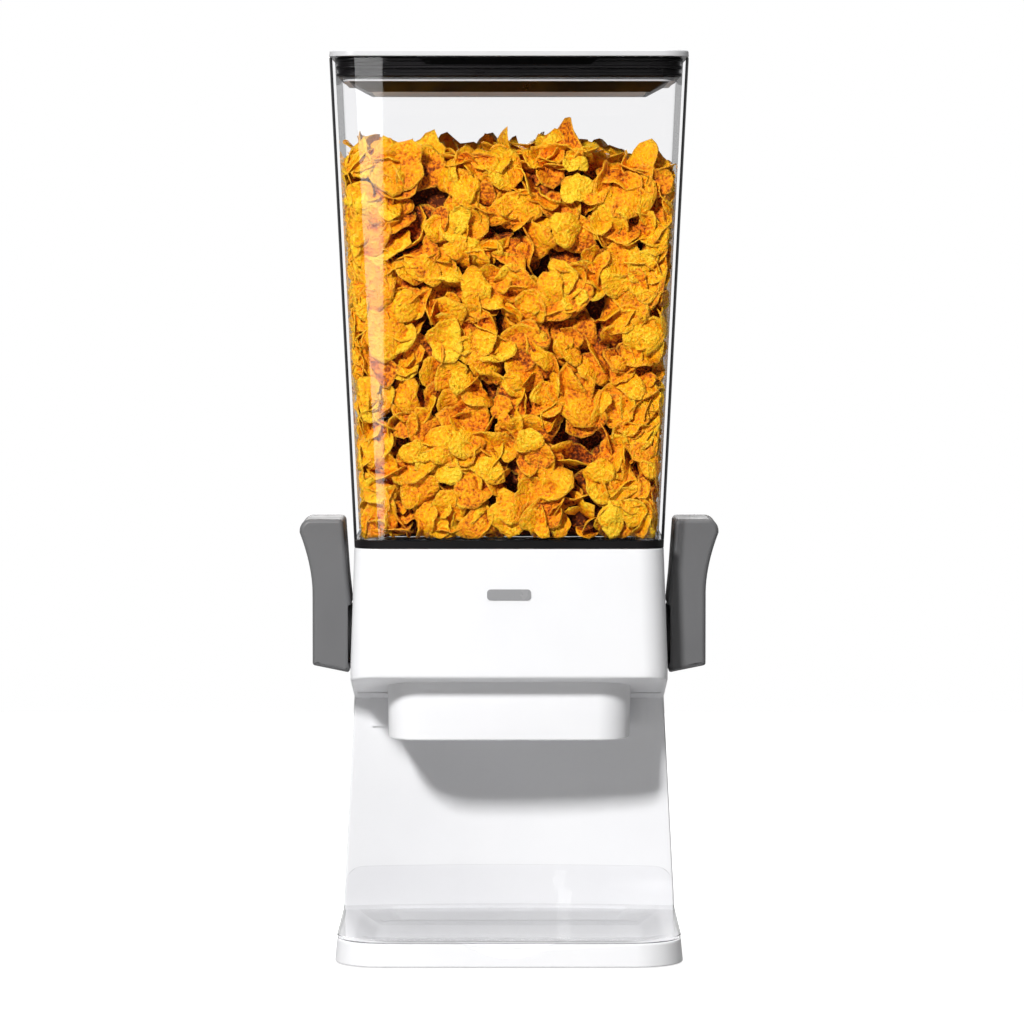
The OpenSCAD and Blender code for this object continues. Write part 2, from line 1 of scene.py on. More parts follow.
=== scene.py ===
"""Looks of a countertop cereal dispenser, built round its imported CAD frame.

Metres, in the frame's own axes: +Z up, the front towards -Y, the middle of the stand at X = 0.
Smooth shells with real edge roundings stand for the faceted CAD shells; the other CAD nodes stay
and get softened edges and materials. The cereal is made here, because it is the contents.
"""

import json
import math
import random
from typing import NamedTuple

import bmesh
import bpy
import numpy as np
from mathutils import Matrix, Vector


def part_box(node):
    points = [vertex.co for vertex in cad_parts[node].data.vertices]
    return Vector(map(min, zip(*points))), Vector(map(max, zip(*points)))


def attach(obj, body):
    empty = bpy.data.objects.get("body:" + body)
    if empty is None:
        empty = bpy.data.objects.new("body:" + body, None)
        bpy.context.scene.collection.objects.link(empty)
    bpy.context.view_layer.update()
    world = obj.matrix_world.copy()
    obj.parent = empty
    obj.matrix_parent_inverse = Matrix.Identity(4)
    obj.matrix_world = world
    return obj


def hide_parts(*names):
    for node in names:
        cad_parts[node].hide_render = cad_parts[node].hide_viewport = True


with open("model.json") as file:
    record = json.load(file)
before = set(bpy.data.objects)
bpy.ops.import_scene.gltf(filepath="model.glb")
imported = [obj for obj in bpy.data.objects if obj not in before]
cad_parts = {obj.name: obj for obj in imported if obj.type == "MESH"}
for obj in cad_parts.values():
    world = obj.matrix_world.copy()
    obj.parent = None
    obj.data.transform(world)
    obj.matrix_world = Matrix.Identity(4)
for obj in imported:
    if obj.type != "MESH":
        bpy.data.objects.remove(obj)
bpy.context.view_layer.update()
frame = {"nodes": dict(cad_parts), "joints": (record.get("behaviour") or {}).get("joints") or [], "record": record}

MM = 0.001
OVER = 1 * MM           # how far a cutting tool reaches past what it cuts
GAP = 0.3 * MM          # room between neighbouring pieces
SLIVER = 0.1 * MM       # keeps faces apart that would otherwise coincide in a cut
SMOOTH_ANGLE = math.radians(38)
CORNER_STEPS = 12
FILLET_STEPS = 4
ROUND_STEPS = 64

# ---------------------------------------------------------------- sizes from the frame

head_lo, head_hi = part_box("head_shell")
column_lo, column_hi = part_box("column_shell")
base_lo, base_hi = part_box("base_shell")
chute_lo, chute_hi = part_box("chute")
bin_lo, bin_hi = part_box("container")
seal_lo, seal_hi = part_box("container_seal")
lid_lo, lid_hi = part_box("lid_plate")
gasket_lo, gasket_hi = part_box("lid_gasket")
button_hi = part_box("button_cap")[1]
handle_lo, handle_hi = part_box("handle_right")
cap_lo, cap_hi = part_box("handle_cap_right")
tray_lo, tray_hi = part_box("tray")
pivot = Vector(next(j["pos_m"] for j in frame["joints"] if j["name"] == "rotor_turn"))

CENTRE_Y = (head_lo.y + head_hi.y) / 2
NECK_Z = column_hi.z
HEAD_RADIUS = 14 * MM
HEAD_TAPER = 2.3 * MM
HEAD_BOTTOM = 151 * MM
UNDERSIDE_FALL = math.radians(13)
WALL = 2.5 * MM
LEAST_RADIUS = 0.5 * MM
COLUMN_FRONT = 50 * MM
COLUMN_SAG = 10 * MM
COLUMN_FOOT_RADIUS = 24 * MM
PANEL_RADIUS = (column_hi.x ** 2 + COLUMN_SAG ** 2) / (2 * COLUMN_SAG)
BIN_WALL = 3 * MM
BIN_FLOOR = 4.5 * MM


# ---------------------------------------------------------------- outlines

class Section(NamedTuple):
    """Rounded rectangle at a height, symmetric about X = 0."""
    half: float
    front: float
    back: float
    radius: float
    z: float


def inset(section, distance, z=None):
    """The section with its outline moved in, at its own height or at z."""
    radius = max(section.radius - distance, LEAST_RADIUS)
    height = section.z if z is None else z
    return Section(section.half - distance, section.front + distance, section.back - distance,
                   radius, height)


def between(low, high, z):
    """The section at height z on the straight loft from low to high."""
    t = (z - low.z) / (high.z - low.z)
    return Section(*(a + (b - a) * t for a, b in zip(low, high)))


def arc(cx, cy, radius, start, end, steps):
    """Points of an arc from one angle to another, in degrees, both ends included."""
    angles = [math.radians(start + (end - start) * i / steps) for i in range(steps + 1)]
    return [(cx + radius * math.cos(a), cy + radius * math.sin(a)) for a in angles]


def rectangle(half, front, back, radius, steps=CORNER_STEPS):
    """Outline of a rounded rectangle, anticlockwise from its right front corner."""
    x = half - radius
    y0, y1 = front + radius, back - radius
    return (arc(x, y0, radius, -90, 0, steps) + arc(x, y1, radius, 0, 90, steps)
            + arc(-x, y1, radius, 90, 180, steps) + arc(-x, y0, radius, 180, 270, steps))


def ring(section):
    """Points of a section in space."""
    outline = rectangle(section.half, section.front, section.back, section.radius)
    return [Vector((x, y, section.z)) for x, y in outline]


def fillet(radius):
    """Pairs of inset and distance from the edge, round a quarter circle from the flat side."""
    if radius == 0:
        return [(0.0, 0.0)]
    angles = [math.radians(90 * i / FILLET_STEPS) for i in range(FILLET_STEPS + 1)]
    return [(radius * (1 - math.sin(a)), radius * (1 - math.cos(a))) for a in angles]


def block_rings(low, high, low_fillet=0.0, high_fillet=0.0):
    """Rings of a tapering block whose lower and upper edges are rounded."""
    lower = [inset(between(low, high, low.z + d), i) for i, d in fillet(low_fillet)]
    upper = [inset(between(low, high, high.z - d), i) for i, d in reversed(fillet(high_fillet))]
    return [ring(s) for s in lower + upper]


def panel_y(x, offset=0.0):
    """Y of the hollowed column face, moved back by offset, at a distance x from the middle."""
    return COLUMN_FRONT + offset - PANEL_RADIUS + math.sqrt(PANEL_RADIUS ** 2 - x ** 2)


# ---------------------------------------------------------------- meshes

def new_object(name, data):
    """Object in the scene that holds the data."""
    piece = bpy.data.objects.new(name, data)
    bpy.context.scene.collection.objects.link(piece)
    return piece


def place(name, mesh):
    """Turns a bmesh into an object in the scene."""
    mesh.normal_update()
    data = bpy.data.meshes.new(name)
    mesh.to_mesh(data)
    mesh.free()
    return new_object(name, data)


def skin(name, rings):
    """Closed solid through a stack of rings with the same number of points."""
    mesh = bmesh.new()
    loops = [[mesh.verts.new(p) for p in points] for points in rings]
    for low, high in zip(loops, loops[1:]):
        for i, corner in enumerate(low):
            j = (i + 1) % len(low)
            mesh.faces.new((corner, low[j], high[j], high[i]))
    mesh.faces.new(reversed(loops[0]))
    mesh.faces.new(loops[-1])
    bmesh.ops.recalc_face_normals(mesh, faces=mesh.faces)
    return place(name, mesh)


def prism(name, outline, start, end, axis="Z"):
    """Solid pushed along an axis from a closed outline: (x, y) for Z, (x, z) for Y, (y, z) for X."""
    def point(a, b, along):
        if axis == "Z":
            return Vector((a, b, along))
        if axis == "Y":
            return Vector((a, along, b))
        return Vector((along, a, b))
    return skin(name, [[point(a, b, along) for a, b in outline] for along in (start, end)])


def disc(radius, cx=0.0, cy=0.0):
    """Outline of a full circle."""
    return arc(cx, cy, radius, 0, 360 - 360 / ROUND_STEPS, ROUND_STEPS - 1)


def rod(name, radius, centre, start, end, axis="X"):
    """Cylinder along an axis; centre is its place in the other two directions."""
    return prism(name, disc(radius, *centre), start, end, axis)


def freeze(piece):
    """Applies the modifiers of a piece to its mesh."""
    bpy.context.view_layer.update()
    graph = bpy.context.evaluated_depsgraph_get()
    data = bpy.data.meshes.new_from_object(piece.evaluated_get(graph))
    piece.modifiers.clear()
    old = piece.data
    piece.data = data
    bpy.data.meshes.remove(old)
    return piece


def combine(piece, operation, tools):
    """Cuts the tools from the piece, joins them to it or keeps what they share, and removes them."""
    for tool in tools:
        modifier = piece.modifiers.new("combine", "BOOLEAN")
        modifier.operation = operation
        modifier.solver = "EXACT"
        modifier.object = tool
    freeze(piece)
    for tool in tools:
        bpy.data.objects.remove(tool)
    return piece


def cut(piece, *tools):
    """The piece without the tools."""
    return combine(piece, "DIFFERENCE", tools)


def join(piece, *tools):
    """The piece and the tools as one."""
    return combine(piece, "UNION", tools)


def keep_inside(piece, *tools):
    """What the piece and the tools share."""
    return combine(piece, "INTERSECT", tools)


def soften(piece, width, segments=3, weld=False):
    """Rounds the sharp edges and shades the rest smooth. The modifiers stay on the piece."""
    if weld:
        piece.modifiers.new("weld", "WELD").merge_threshold = 0.005 * MM
    bevel = piece.modifiers.new("soft_edges", "BEVEL")
    bevel.width = width
    bevel.segments = segments
    bevel.limit_method = "ANGLE"
    bevel.angle_limit = SMOOTH_ANGLE
    piece.data.polygons.foreach_set("use_smooth", [True] * len(piece.data.polygons))
    normals = piece.modifiers.new("flat_faces", "WEIGHTED_NORMAL")
    normals.keep_sharp = True
    return piece


# ---------------------------------------------------------------- material helpers

NOISE_LOW, NOISE_HIGH = 0.3, 0.7    # nearly all of a noise texture lies between these


def new_material(name, **values):
    """Principled material; the keywords are its sockets, with _ for a space."""
    material = bpy.data.materials.new(name)
    material.use_nodes = True
    shader = material.node_tree.nodes["Principled BSDF"]
    for socket, value in values.items():
        shader.inputs[socket.replace("_", " ")].default_value = value
    return material, material.node_tree, shader


def noise(tree, scale, detail=3.0, stretch=(1, 1, 1)):
    """Noise over the object's own space, in features per metre."""
    place_of = tree.nodes.new("ShaderNodeTexCoord")
    mapping = tree.nodes.new("ShaderNodeMapping")
    mapping.inputs["Scale"].default_value = stretch
    texture = tree.nodes.new("ShaderNodeTexNoise")
    texture.inputs["Scale"].default_value = scale
    texture.inputs["Detail"].default_value = detail
    tree.links.new(place_of.outputs["Object"], mapping.inputs["Vector"])
    tree.links.new(mapping.outputs["Vector"], texture.inputs["Vector"])
    return texture.outputs["Fac"]


def ramp(tree, factor, *stops):
    """Colour ramp through (position, colour) stops."""
    node = tree.nodes.new("ShaderNodeValToRGB")
    elements = node.color_ramp.elements
    while len(elements) < len(stops):
        elements.new(1.0)
    for element, (position, colour) in zip(elements, stops):
        element.position = position
        element.color = (*colour, 1.0)
    tree.links.new(factor, node.inputs["Fac"])
    return node.outputs["Color"]


def spread(tree, factor, low, high, out_low=0.0, out_high=1.0):
    """Maps low..high to out_low..out_high, held at both ends."""
    node = tree.nodes.new("ShaderNodeMapRange")
    values = (("From Min", low), ("From Max", high), ("To Min", out_low), ("To Max", out_high))
    for socket, value in values:
        node.inputs[socket].default_value = value
    tree.links.new(factor, node.inputs["Value"])
    return node.outputs["Result"]


def math_node(tree, operation, a, b):
    """Math node between two sockets, or a socket and a number."""
    node = tree.nodes.new("ShaderNodeMath")
    node.operation = operation
    for socket, value in zip(node.inputs, (a, b)):
        if isinstance(value, (int, float)):
            socket.default_value = value
        else:
            tree.links.new(value, socket)
    return node.outputs["Value"]


def bump(tree, shader, height, distance, strength=1.0, under=None):
    """Bump of a real height in metres on the shader's normal, over an earlier bump if there is one."""
    node = tree.nodes.new("ShaderNodeBump")
    node.inputs["Strength"].default_value = strength
    node.inputs["Distance"].default_value = distance
    tree.links.new(height, node.inputs["Height"])
    if under:
        tree.links.new(under, node.inputs["Normal"])
    tree.links.new(node.outputs["Normal"], shader.inputs["Normal"])
    return node.outputs["Normal"]


def moulded(name, dark, light, gloss, grain, grain_height, **values):
    """Moulded plastic or rubber: faint clouds of colour, uneven gloss and a fine grain."""
    material, tree, shader = new_material(name, **values)
    links = tree.links
    clouds, uneven_gloss, waves = noise(tree, 14), noise(tree, 70), noise(tree, 55, 2)
    wave_height = 0.03 * MM
    links.new(ramp(tree, clouds, (NOISE_LOW, dark), (NOISE_HIGH, light)), shader.inputs["Base Color"])
    links.new(spread(tree, uneven_gloss, NOISE_LOW, NOISE_HIGH, *gloss), shader.inputs["Roughness"])
    coarse = bump(tree, shader, waves, wave_height, 0.5)
    bump(tree, shader, noise(tree, grain, 4), grain_height, 0.6, under=coarse)
    return material


# ---------------------------------------------------------------- materials

def steel():
    """Turned steel: fine rings across the axis of the screws and the shaft."""
    material, tree, shader = new_material("steel", Metallic=1.0, Specular_IOR_Level=0.6)
    grey = ramp(tree, noise(tree, 120), (NOISE_LOW, (0.5, 0.51, 0.53)), (NOISE_HIGH, (0.66, 0.67, 0.69)))
    tree.links.new(grey, shader.inputs["Base Color"])
    turned = noise(tree, 900, 2, stretch=(4, 0.2, 0.2))
    groove_depth = 0.01 * MM
    tree.links.new(spread(tree, turned, NOISE_LOW, NOISE_HIGH, 0.18, 0.36), shader.inputs["Roughness"])
    bump(tree, shader, turned, groove_depth, 0.4)
    return material


def clear_plastic(name, see_through, edge_reflection_colour, edge_reflection_range, flatness):
    """Polished clear plastic, painted dark at rounded edges that are seen edge on or face downwards: a painted
    reflection of the dark surroundings that such edges show.
    """
    # the Principled shader here is only the dark colour of the painted edge reflection
    material, tree, shader = new_material(name, Base_Color=edge_reflection_colour, Roughness=0.2,
                                          Specular_IOR_Level=0.05)
    nodes, links = tree.nodes, tree.links
    clear = nodes.new("ShaderNodeBsdfTransparent")
    links.new(ramp(tree, noise(tree, 8), (0.35, see_through[0]), (0.65, see_through[1])),
              clear.inputs["Color"])
    gloss = nodes.new("ShaderNodeBsdfGlossy")
    scratches = noise(tree, 260, 5, (1, 1, 0.15))
    links.new(spread(tree, scratches, 0.35, 0.75, 0.008, 0.04), gloss.inputs["Roughness"])
    facing = nodes.new("ShaderNodeLayerWeight")
    facing.inputs["Blend"].default_value = 0.5
    grazing = math_node(tree, "POWER", facing.outputs["Facing"], 5.0)
    surface = nodes.new("ShaderNodeNewGeometry")
    outside = math_node(tree, "SUBTRACT", 1.0, surface.outputs["Backfacing"])
    polish = math_node(tree, "MULTIPLY", spread(tree, grazing, 0.0, 1.0, 0.035, 1.0), outside)
    polished = nodes.new("ShaderNodeMixShader")
    links.new(polish, polished.inputs["Fac"])
    links.new(clear.outputs["BSDF"], polished.inputs[1])
    links.new(gloss.outputs["BSDF"], polished.inputs[2])

    squared = nodes.new("ShaderNodeVectorMath")
    squared.operation = "MULTIPLY"
    links.new(surface.outputs["True Normal"], squared.inputs[0])
    links.new(surface.outputs["True Normal"], squared.inputs[1])
    axes = nodes.new("ShaderNodeSeparateXYZ")
    links.new(squared.outputs["Vector"], axes.inputs["Vector"])
    largest = math_node(tree, "MAXIMUM", axes.outputs["X"], axes.outputs["Y"])
    largest = math_node(tree, "MAXIMUM", largest, axes.outputs["Z"])
    rounded = spread(tree, math_node(tree, "SUBTRACT", 1.0, largest), *flatness)
    edge_on = spread(tree, facing.outputs["Facing"], *edge_reflection_range)
    heading = nodes.new("ShaderNodeSeparateXYZ")
    links.new(surface.outputs["True Normal"], heading.inputs["Vector"])
    downwards = spread(tree, heading.outputs["Z"], -0.12, -0.3)
    # painted reflection: dark where rounded outside faces are seen edge on or face downwards
    at_edges = math_node(tree, "MULTIPLY", rounded, math_node(tree, "MAXIMUM", edge_on, downwards))
    dark = math_node(tree, "MULTIPLY", at_edges, outside)
    whole = nodes.new("ShaderNodeMixShader")
    links.new(dark, whole.inputs["Fac"])
    links.new(polished.outputs["Shader"], whole.inputs[1])
    links.new(shader.outputs["BSDF"], whole.inputs[2])
    links.new(whole.outputs["Shader"], nodes["Material Output"].inputs["Surface"])
    return material


def toasted_corn():
    """Toasted corn: a tone for each flake that sinks with its depth in the pile as painted shade, paler rims,
    brown specks, and a blistered skin painted paler on its tops as highlight and darker in its pits as shade, dull
    where it is dark."""
    material, tree, shader = new_material("toasted_corn", Specular_IOR_Level=0.55,
                                          Specular_Tint=(1.0, 0.74, 0.46, 1))
    nodes, links = tree.nodes, tree.links
    # tone: a random tone for each flake, darkened deep in the pile as painted shade
    tone = nodes.new("ShaderNodeAttribute")
    tone.attribute_name = "tone"
    rim = nodes.new("ShaderNodeAttribute")
    rim.attribute_name = "rim"
    blisters = noise(tree, 620, 4)
    blister_height, grain_height = 2.2 * MM, 0.4 * MM
    patches = math_node(tree, "MULTIPLY", math_node(tree, "SUBTRACT", noise(tree, 190, 3), 0.5), 0.7)
    # paler on blister tops as painted highlight, darker in blister pits as painted shade
    blister_shade_and_highlight = math_node(tree, "MULTIPLY", math_node(tree, "SUBTRACT", blisters, 0.5), 1.5)
    toast_shade_and_highlight = math_node(tree, "ADD", tone.outputs["Fac"], math_node(tree, "ADD", patches, blister_shade_and_highlight))
    # dark end of the ramp: painted shade deep in the pile; pale top stop: painted highlight on blister tops
    skin_colour = ramp(tree, toast_shade_and_highlight, (0.0, (0.09, 0.010, 0.001)), (0.22, (0.46, 0.08, 0.002)),
                       (0.42, (0.92, 0.24, 0.002)), (0.62, (1.0, 0.38, 0.003)),
                       (0.82, (1.0, 0.48, 0.004)), (1.0, (1.0, 0.64, 0.025)))
    pale_rim = nodes.new("ShaderNodeMix")
    pale_rim.data_type = "RGBA"
    links.new(spread(tree, rim.outputs["Fac"], 0.86, 1.0, 0.0, 0.55), pale_rim.inputs["Factor"])
    links.new(skin_colour, pale_rim.inputs["A"])
    pale_rim.inputs["B"].default_value = (1.0, 0.52, 0.03, 1)
    specks = spread(tree, noise(tree, 900, 2), 0.70, 0.76, 0.0, 0.75)
    speckled = nodes.new("ShaderNodeMix")
    speckled.data_type = "RGBA"
    links.new(specks, speckled.inputs["Factor"])
    links.new(pale_rim.outputs["Result"], speckled.inputs["A"])
    speckled.inputs["B"].default_value = (0.12, 0.03, 0.004, 1)
    links.new(speckled.outputs["Result"], shader.inputs["Base Color"])
    dull_depths = spread(tree, tone.outputs["Fac"], 0.15, 0.6, 0.5, 0.0)
    skin_roughness = spread(tree, blisters, NOISE_LOW, NOISE_HIGH, 0.40, 0.22)
    roughness = math_node(tree, "ADD", skin_roughness, dull_depths)
    links.new(roughness, shader.inputs["Roughness"])
    coarse = bump(tree, shader, blisters, blister_height)
    bump(tree, shader, noise(tree, 1900, 3), grain_height, 0.8, under=coarse)
    return material


CLEAR_TINT = ((0.984, 0.984, 0.988), (0.99, 0.99, 0.992))
MATERIALS = {
    "white_plastic": moulded("white_plastic", (0.715, 0.715, 0.728), (0.74, 0.74, 0.749),
                             (0.28, 0.40), 1900, 0.010 * MM),
    # lid_white is a grey below the stand's white: painted shade on the white lid
    "lid_white": moulded("lid_white", (0.46, 0.46, 0.467), (0.49, 0.49, 0.495),
                         (0.30, 0.42), 2100, 0.008 * MM),
    "inner_plastic": moulded("inner_plastic", (0.62, 0.63, 0.64), (0.69, 0.70, 0.71),
                             (0.42, 0.56), 1500, 0.015 * MM),
    "handle_grey": moulded("handle_grey", (0.108, 0.108, 0.111), (0.124, 0.124, 0.127),
                           (0.42, 0.55), 2600, 0.030 * MM, Specular_IOR_Level=0.35),
    # near black: the rubber's own dark together with painted reflection of dark surroundings in the lid's gasket
    "seal_rubber": moulded("seal_rubber", (0.004, 0.004, 0.004), (0.009, 0.008, 0.009),
                           (0.26, 0.40), 1400, 0.012 * MM, Specular_IOR_Level=0.12),
    "vane_silicone": moulded("vane_silicone", (0.50, 0.51, 0.52), (0.58, 0.59, 0.60),
                             (0.45, 0.6), 1200, 0.012 * MM, Subsurface_Weight=0.1,
                             Subsurface_Scale=2 * MM),
    "foot_rubber": moulded("foot_rubber", (0.05, 0.05, 0.052), (0.08, 0.08, 0.082),
                           (0.65, 0.85), 1600, 0.03 * MM),
    "bush_plastic": moulded("bush_plastic", (0.05, 0.05, 0.052), (0.09, 0.09, 0.092),
                            (0.4, 0.5), 1800, 0.012 * MM),
    "badge_grey": moulded("badge_grey", (0.25, 0.25, 0.255), (0.28, 0.28, 0.285),
                          (0.22, 0.32), 2200, 0.006 * MM),
    "steel": steel(),
    "toasted_corn": toasted_corn(),
    # the dark colours and facing ranges of the clear materials paint the dark reflections at their edges
    "clear_plastic": clear_plastic("clear_plastic", CLEAR_TINT, (0.010, 0.010, 0.012, 1),
                                   (0.42, 0.50), (0.0035, 0.006)),
    "clear_inside": clear_plastic("clear_inside", CLEAR_TINT, (0.012, 0.012, 0.014, 1),
                                  (1.5, 2.0), (0.015, 0.06)),
    "tray_plastic": clear_plastic("tray_plastic", ((0.990, 0.990, 0.993), (0.995, 0.995, 0.997)),
                                  (0.10, 0.10, 0.11, 1), (0.45, 0.80), (0.16, 0.32)),
}


# ---------------------------------------------------------------- pieces

def finish_piece(piece, body, slot, *nodes):
    """Gives a piece the material of a slot, attaches it to its body and hides the CAD nodes that it stands for."""
    piece.data.materials.clear()
    piece.data.materials.append(MATERIALS[slot])
    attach(piece, body)
    if nodes:
        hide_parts(*nodes)
    return piece


def column_ring(half, back, radius, z):
    """Outline of the column at a height: rounded at the back, hollowed at the front."""
    x, y = half - radius, back - radius
    rear = arc(x, y, radius, 0, 90, CORNER_STEPS) + arc(-x, y, radius, 90, 180, CORNER_STEPS)
    steps = 48
    face = [-half + 2 * half * i / steps for i in range(steps + 1)]
    return [Vector((a, b, z)) for a, b in rear + [(x, panel_y(x)) for x in face]]


CHUTE_FOOT = Section(66.4 * MM, chute_lo.y, chute_hi.y - 4 * MM, 18 * MM, chute_lo.z + 0.5 * MM)
chamber_lo, chamber_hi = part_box("rotor_chamber")


def chamber_space(start, end):
    """Room of the rotor's chamber, between two places along X."""
    clearance = 0.06 * MM
    radius = (chamber_hi.z - chamber_lo.z) / 2 + clearance
    return rod("chamber", radius, (pivot.y, pivot.z), start, end)


def chute_space():
    """Room inside the chute and inside the rotor's chamber."""
    lip = 0.4 * MM
    passage = inset(CHUTE_FOOT, WALL - lip, NECK_Z - 2 * WALL)
    return (skin("passage", [ring(passage), ring(passage._replace(z=head_hi.z - WALL))]),
            chamber_space(chamber_lo.x - SLIVER, chamber_hi.x + SLIVER))


HEAD_KINK = Section(head_hi.x, head_lo.y, head_hi.y, HEAD_RADIUS, HEAD_BOTTOM + 6 * MM)
HEAD_TOP = inset(HEAD_KINK, 0, head_hi.z)._replace(half=head_hi.x - HEAD_TAPER)
COLUMN_FOOT_Z = column_lo.z - 2 * MM
NECK_OVERLAP = 4 * MM


def column_rings():
    """Rings of the column, from inside the base to a little above the neck."""
    levels = 10
    rings = []
    for i in range(levels + 1):
        t = i / levels
        half = column_hi.x + (head_hi.x - column_hi.x) * t
        back = column_hi.y + (head_hi.y - column_hi.y) * t
        radius = COLUMN_FOOT_RADIUS + (HEAD_RADIUS - COLUMN_FOOT_RADIUS) * t
        rings.append(column_ring(half, back, radius, column_lo.z + (NECK_Z - column_lo.z) * t))
    rings.insert(0, [p + Vector((0, 0, COLUMN_FOOT_Z - column_lo.z)) for p in rings[0]])
    rings.append([p + Vector((0, 0, NECK_OVERLAP)) for p in rings[-1]])
    return rings


def head_block():
    """Outside of the head, with its sloping underside."""
    head = skin("head", [ring(HEAD_KINK._replace(z=NECK_Z))]
                + block_rings(HEAD_KINK, HEAD_TOP, high_fillet=0.5 * MM))
    slope_end = head_lo.y + (HEAD_BOTTOM - NECK_Z) / math.tan(UNDERSIDE_FALL)
    below, reach = NECK_Z - 10 * MM, 20 * MM
    ahead = head_lo.y - reach
    rise = reach * math.tan(UNDERSIDE_FALL)
    wedge = [(ahead, below), (slope_end, below), (slope_end, NECK_Z), (ahead, HEAD_BOTTOM + rise)]
    return cut(head, prism("wedge", wedge, -column_hi.x - OVER, column_hi.x + OVER, "X"))


def stand_hollows():
    """Room inside the head and inside the column."""
    inner = inset(HEAD_KINK, WALL, NECK_Z + NECK_OVERLAP + 0.2 * MM)
    lower = [column_ring(column_hi.x - WALL, column_hi.y - WALL, COLUMN_FOOT_RADIUS - WALL,
                         COLUMN_FOOT_Z - OVER),
             column_ring(head_hi.x - WALL, head_hi.y - WALL, HEAD_RADIUS - WALL, NECK_Z - WALL)]
    moved_back = [[p + Vector((0, WALL, 0)) if p.y < COLUMN_FRONT + OVER else p for p in points]
                  for points in lower]
    return (skin("hollow", [ring(inner), ring(inset(HEAD_TOP, WALL, head_hi.z - WALL))]),
            skin("column_hollow", moved_back))


def stand_openings():
    """Openings for the covers at the back, and for the funnel on top."""
    openings = []
    for name in ("column_cover", "head_cover"):
        lo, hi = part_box(name)
        x0, x1, z0, z1 = lo.x - GAP, hi.x + GAP, lo.z - GAP, hi.z + GAP
        outline = [(x0, z0), (x1, z0), (x1, z1), (x0, z1)]
        openings.append(prism("opening", outline, lo.y - OVER, hi.y + 3 * OVER, "Y"))
    funnel_lo, funnel_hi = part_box("funnel")
    room, corner = 0.5 * MM, 8 * MM
    mouth = rectangle(funnel_hi.x + room, funnel_lo.y - room, funnel_hi.y + room, corner)
    openings.append(prism("mouth", mouth, head_hi.z - WALL - OVER, head_hi.z + OVER))
    return openings


def stand_body():
    """Column and head as one smooth moulding, hollow and open at the back and underneath."""
    bush_radius = 8.1 * MM
    body = join(skin("stand_body", column_rings()), head_block())
    freeze(soften(body, width=1.3 * MM, segments=4))
    bush_hole = rod("bush_hole", bush_radius, (pivot.y, pivot.z), -head_hi.x - OVER, head_hi.x + OVER)
    cut(body, *stand_hollows(), bush_hole, *chute_space(), *stand_openings())
    soften(body, width=0.35 * MM, segments=2)
    return finish_piece(freeze(body), "stand", "white_plastic", "column_shell", "head_shell")


def underside():
    """Sloping plate that closes the head underneath, round the chute and the rotor's chamber."""
    front, back = head_lo.y + WALL - GAP, COLUMN_FRONT + OVER
    outline = []
    for y, lift in ((front, 0), (back, 0), (back, WALL), (front, WALL)):
        fall = (y - head_lo.y) * math.tan(UNDERSIDE_FALL)
        outline.append((y, HEAD_BOTTOM - fall + lift + GAP))
    plate = prism("underside", outline, -head_hi.x, head_hi.x, "X")
    inside = inset(HEAD_KINK._replace(z=NECK_Z - WALL), WALL - GAP)
    keep_inside(plate, skin("inside", [ring(inside), ring(inside._replace(z=HEAD_BOTTOM + 2 * WALL))]))
    cut(plate, *chute_space())
    return finish_piece(freeze(plate), "stand", "white_plastic", "underside_plate")


def column_space(offset, low, high):
    """Everything in front of the hollowed column face moved back by offset, between two heights."""
    half, ahead = column_hi.x + 8 * MM, base_lo.y - 10 * MM
    steps = 64
    face = [half - 2 * half * i / steps for i in range(steps + 1)]
    outline = [(-half, ahead), (half, ahead)] + [(x, panel_y(x, offset)) for x in face]
    return prism("column_space", outline, low, high)


BASE_RADIUS = 26 * MM
BASE_DRAFT = 1.2 * MM
TRAY_T = 2 * MM
TRAY_GAP = 0.6 * MM
GUARD_T = 2.2 * MM
GUARD_RADIUS = 10 * MM
RIM_TOP = base_hi.z + 2.8 * MM
RIM_T = 2.3 * MM
DISH_TOP = Section(base_hi.x - 8 * MM, tray_lo.y + 8 * MM, COLUMN_FRONT - COLUMN_SAG - 4 * MM,
                   22 * MM, RIM_TOP)
DISH_FLOOR = Section(DISH_TOP.half - 15 * MM, DISH_TOP.front + 14 * MM, DISH_TOP.back - 16 * MM,
                     12 * MM, RIM_TOP - 5.5 * MM)


def finger_notch():
    """Ramp in the front wall of the base with a slot behind it, for lifting the tray."""
    half, depth, slot, slot_depth = 27 * MM, 8 * MM, 3.2 * MM, 9.5 * MM
    ramp_radius = half ** 2 * math.sqrt(2) / (2 * depth)
    slot_radius = (half ** 2 + slot ** 2) / (2 * slot)
    ramp = rod("ramp", ramp_radius, (0, -ramp_radius), -depth, 3 * depth, "Z")
    ramp.data.transform(Matrix.Rotation(math.radians(-45), 4, "X"))
    ramp.data.transform(Matrix.Translation((0, base_lo.y, base_hi.z - depth)))
    near = rectangle(base_hi.x, base_lo.y - OVER, base_lo.y + depth - slot, OVER)
    keep_inside(ramp, prism("near", near, 0, base_hi.z + OVER))
    centre = (0, base_hi.z - slot + slot_radius)
    return ramp, rod("slot", slot_radius, centre, base_lo.y - OVER, base_lo.y + slot_depth, "Y")


